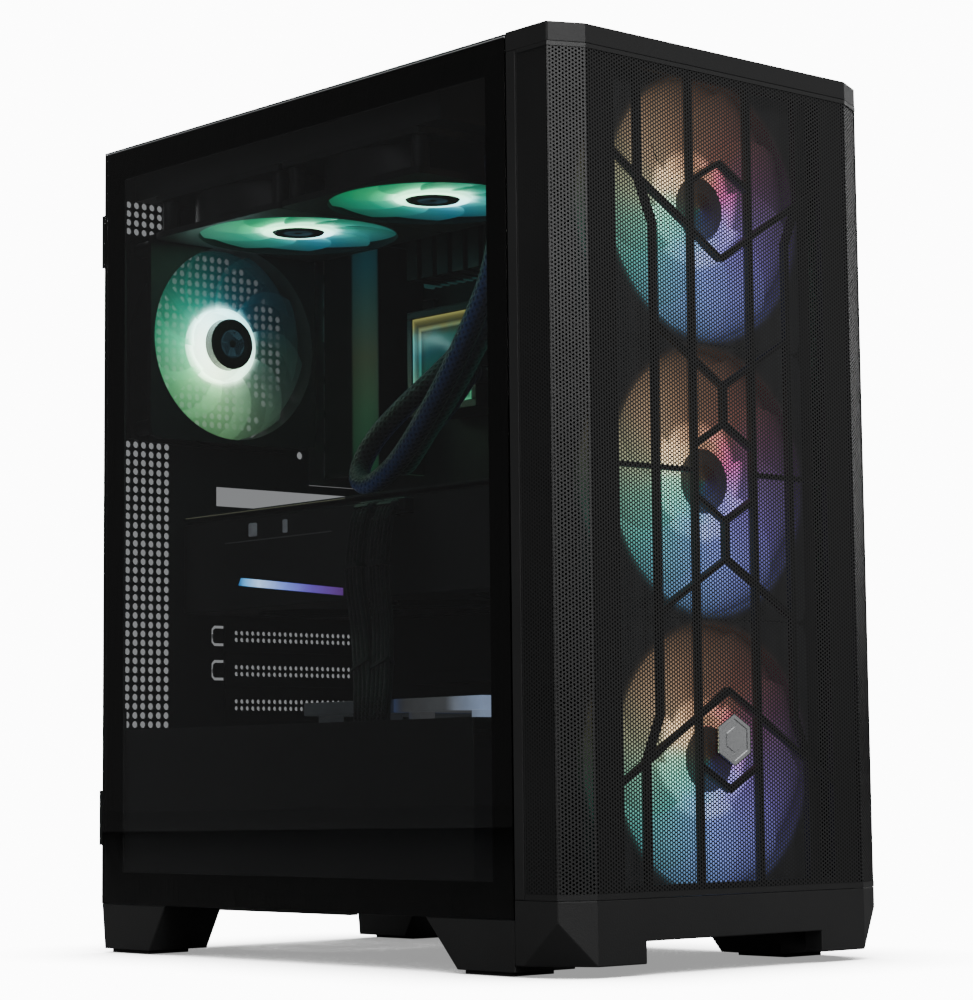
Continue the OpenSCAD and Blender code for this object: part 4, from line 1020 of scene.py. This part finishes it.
def build_card_side():
    """What shows along the card's edge: its board's rim, capacitors and a dotted trim line, each with a
    painted highlight.
    """
    low, high = span("gpu_shroud")
    top = span("gpu_backplate")[1].z
    metal, rim, dots = Shape(), Shape(), Shape()
    for d, r in ((320, 4.6), (290, 3.4)):
        metal.lathe([(0.1, 0), (r - 0.4, 0), (r, 0.4), (r, 7), (r - 0.6, 7.6), (0.1, 7.6)], 32,
                    at(low.x + 2.5, depth(d), top - 16))
    rim.block((low.x - 0.05, low.x + 2), (depth(236), high.y - 2), (top - 1.3, top - 0.7), 0.1)
    for k in range(50):
        y = depth(248 + 2 * k)
        dots.block((low.x - 0.1, low.x + 0.3), (y, y + 1), (top - 18.6, top - 17.9), 0.05)
    piece("card_capacitors", metal, "gpu_board", SILVER_CAN_GLINT, extra=True, smooth=40)
    piece("card_board_rim", rim, "gpu_backplate", EDGE_PAINTED_HIGHLIGHT, extra=True)
    piece("card_trim_dots", dots, "gpu_shroud", DOT_PAINTED_HIGHLIGHT, extra=True)


def build_pump_face():
    """The pump's lit face: a bezel round a mirror plate."""
    _, y, z = PUMP_CENTRE
    face = PUMP[0].x + 7  # the block's own face, past the fittings
    ring, mirror = Shape(), Shape()
    for a, b in (((y - 31, y + 31), (z + 26.5, z + 31)), ((y - 31, y + 31), (z - 31, z - 26.5)),
                 ((y - 31, y - 26.5), (z - 26.5, z + 26.5)), ((y + 26.5, y + 31), (z - 26.5, z + 26.5))):
        ring.block((face - 1.2, face), a, b, 0.4)
    mirror.block((face - 0.5, face), (y - 26.4, y + 26.4), (z - 26.4, z + 26.4), 0.1)
    piece("pump_bezel", ring, "pump_block", HUB_BLACK, extra=True)
    piece("pump_mirror", mirror, "pump_block", pump_look(), extra=True)


# ---- dress the CAD nodes

def dress(node, material, bevel, segments):
    """Gives a CAD node its material, and rounds its edges a little."""
    node_object = NODES[node]
    node_object.data.materials.clear()
    node_object.data.materials.append(material)
    if bevel:
        weld = node_object.modifiers.new("weld", "WELD")
        weld.merge_threshold = 1e-5
        cut = node_object.modifiers.new("bevel", "BEVEL")
        cut.width = bevel * MM
        cut.segments = segments
        cut.limit_method = "ANGLE"
        cut.angle_limit = math.radians(40)
        cut.harden_normals = True


for names, material, bevel, segments in (
        ("top_panel bottom_panel right_side_panel", BLACK_STEEL, 0.3, 2),
        ("front_chassis_panel motherboard_tray psu_shroud glass_frame", INNER_BLACK, 0.25, 2),
        ("front_cap front_side_strips front_base front_feet rear_feet", MOULDING, 0.7, 3),
        ("io_module", MOULDING, 0.4, 2),
        ("top_dust_filter psu_dust_filter", MOULDING, 0.3, 2),
        ("front_lattice", LATTICE, 0.3, 2),
        ("rubber_pads", RUBBER, 0.4, 2),
        ("radiator", SATIN_BLACK, 0, 2),
        ("gpu_shroud", SATIN_BLACK, 0.6, 2),
        ("heatsinks ram_modules", SATIN_BLACK, 0.5, 2),
        ("power_button", SATIN_BLACK, 0.4, 2),
        ("gpu_backplate reset_button", SATIN_BLACK, 0.3, 2),
        ("pump_block", BLACK_PARTS, 1.0, 3),
        ("psu_inlet", BLACK_PARTS, 0.3, 2),
        ("motherboard", BOARD, 0.2, 2),
        ("gpu_board", BOARD, 0.1, 2),
        ("motherboard_standoffs", GOLD, 0.2, 2),
        ("io_cover", cover_look(), 0.5, 2),
        ("io_ports slot_screws", STEEL, 0.3, 2),
        ("gpu_heatsink", FINS, 0.3, 2),
        ("gpu_bracket", DARK_STEEL, 0.2, 2),
        ("gpu_light_bar", bar_look(), 0.2, 2),
        ("psu_case", INNER_BLACK, 0.3, 2),
        ("psu_switch", HUB_BLACK, 0.3, 2),
        ("solid_state_drives", drive_look(), 0.6, 3),
        ("glass_sheet", glass_look(), 0.4, 2)):
    for node in names.split():
        dress(node, material, bevel, segments)

for build in (build_front_mesh, build_corner_strips, build_badge, build_base_deck, build_fans, build_rear,
              build_port_openings, build_thumbscrews, build_hoses, build_power_cables, build_board_parts,
              build_card_side, build_pump_face):
    build()


# ---- floor, light and camera

WHITE = 12.0  # what the camera sees of the surround
THROUGH = 0.45  # and what it sees of it through glass
DIM = 0.03  # the surround for everything but the camera
FLOOR_HALF = 9.0  # metres
LIGHT_TARGET = Vector((0, 0, 0.2))
LIGHTS = (  # place and size in metres, and power in watts
    ("front_light", (-0.75, -3.6, 1.5), (0.9, 1.5), 40),
    ("right_front_light", (2.5, -2.8, 1.3), (1.8, 2.4), 10),
    ("left_light", (-3.2, 3.4, 1.2), (3.0, 2.6), 4),
    ("left_front_light", (-3.4, -0.6, 1.4), (1.6, 1.8), 20),
    ("right_light", (3.4, 1.5, 1.4), (1.4, 2.0), 60),
    ("rear_light", (0.9, 3.8, 1.5), (2.0, 1.8), 65),
    ("top_light", (0.0, 0.0, 3.0), (2.0, 2.0), 26))
CAMERA_AT = (-1.0461, -1.2081, 0.0914)
CAMERA_YAW, CAMERA_PITCH, CAMERA_ROLL = 41.93, 6.40, -0.66
CAMERA_LENS = 104.28
CAMERA_SHIFT = (-0.0335, -0.04)


def straight_view(tree):
    """Two factors: 1 for what is seen straight through glass, and 1 for what the camera sees directly."""
    ray = tree.node("LightPath").outputs
    straight = tree.maths("LESS_THAN", tree.maths("ADD", ray["Diffuse Depth"], ray["Glossy Depth"]), 0.5)
    return tree.times(ray["Is Transmission Ray"], straight), ray["Is Camera Ray"]


def stage_floor():
    """A white floor with a painted contact shadow: ambient occlusion darkens it only close to what stands on
    it.
    """
    mesh = bpy.data.meshes.new("floor")
    corners = rectangle((-FLOOR_HALF, FLOOR_HALF), (-FLOOR_HALF, FLOOR_HALF))
    mesh.from_pydata([(x, y, 0) for x, y in corners], [], [[0, 1, 2, 3]])
    floor = add_object("floor", mesh)
    floor.location.z = -0.0001
    look = bpy.data.materials.new("pale_floor")
    tree = Tree(look)
    # painted contact shadow: ambient occlusion dims the floor's glow near the case
    near = tree.node("AmbientOcclusion", Distance=0.09, samples=8).outputs["AO"]
    shade = tree.node("MapRange", Value=near, From_Min=0.35, To_Min=WHITE * 0.03, To_Max=WHITE).outputs[0]
    through, direct = straight_view(tree)
    dull = tree.maths("MULTIPLY_ADD", through, THROUGH / WHITE, direct)
    lit = tree.node("Emission", Strength=tree.times(dull, shade)).outputs[0]
    plain = tree.node("BsdfDiffuse", (0.3, 0.3, 0.3, 1)).outputs[0]
    mix = tree.node("MixShader", tree.maths("MAXIMUM", through, direct), plain, lit)
    tree.put(mix.outputs[0], tree.output.inputs[0])
    mesh.materials.append(look)


def softbox(name, place, size, power):
    data = bpy.data.lights.new(name, "AREA")
    data.shape = "RECTANGLE"
    data.size, data.size_y = size
    data.energy = power
    lamp = add_object(name, data)
    lamp.location = place
    lamp.rotation_euler = (LIGHT_TARGET - Vector(place)).to_track_quat("-Z", "Y").to_euler()


def studio():
    """A white surround for the camera, duller through glass and nearly black to everything else."""
    world = bpy.data.worlds.new("studio")
    bpy.context.scene.world = world
    tree = Tree(world, "OutputWorld")
    sky, *seen_skies = (tree.node("Background", (1, 1, 1, 1), strength).outputs[0]
                        for strength in (DIM, THROUGH, WHITE))
    for seen, brighter in zip(straight_view(tree), seen_skies):
        sky = tree.node("MixShader", seen, sky, brighter).outputs[0]
    tree.put(sky, tree.output.inputs[0])
    for light in LIGHTS:
        softbox(*light)


def place_camera():
    """At the photograph's viewing angle, on a long lens."""
    data = bpy.data.cameras.new("camera")
    data.lens = CAMERA_LENS
    data.sensor_width = 36
    data.shift_x, data.shift_y = CAMERA_SHIFT
    camera = add_object("camera", data)
    camera.matrix_world = (at(*CAMERA_AT) @ turned(-CAMERA_YAW, "Z") @ turned(90 + CAMERA_PITCH, "X")
                           @ turned(CAMERA_ROLL, "Z"))
    bpy.context.scene.camera = camera


stage_floor()
studio()
place_camera()
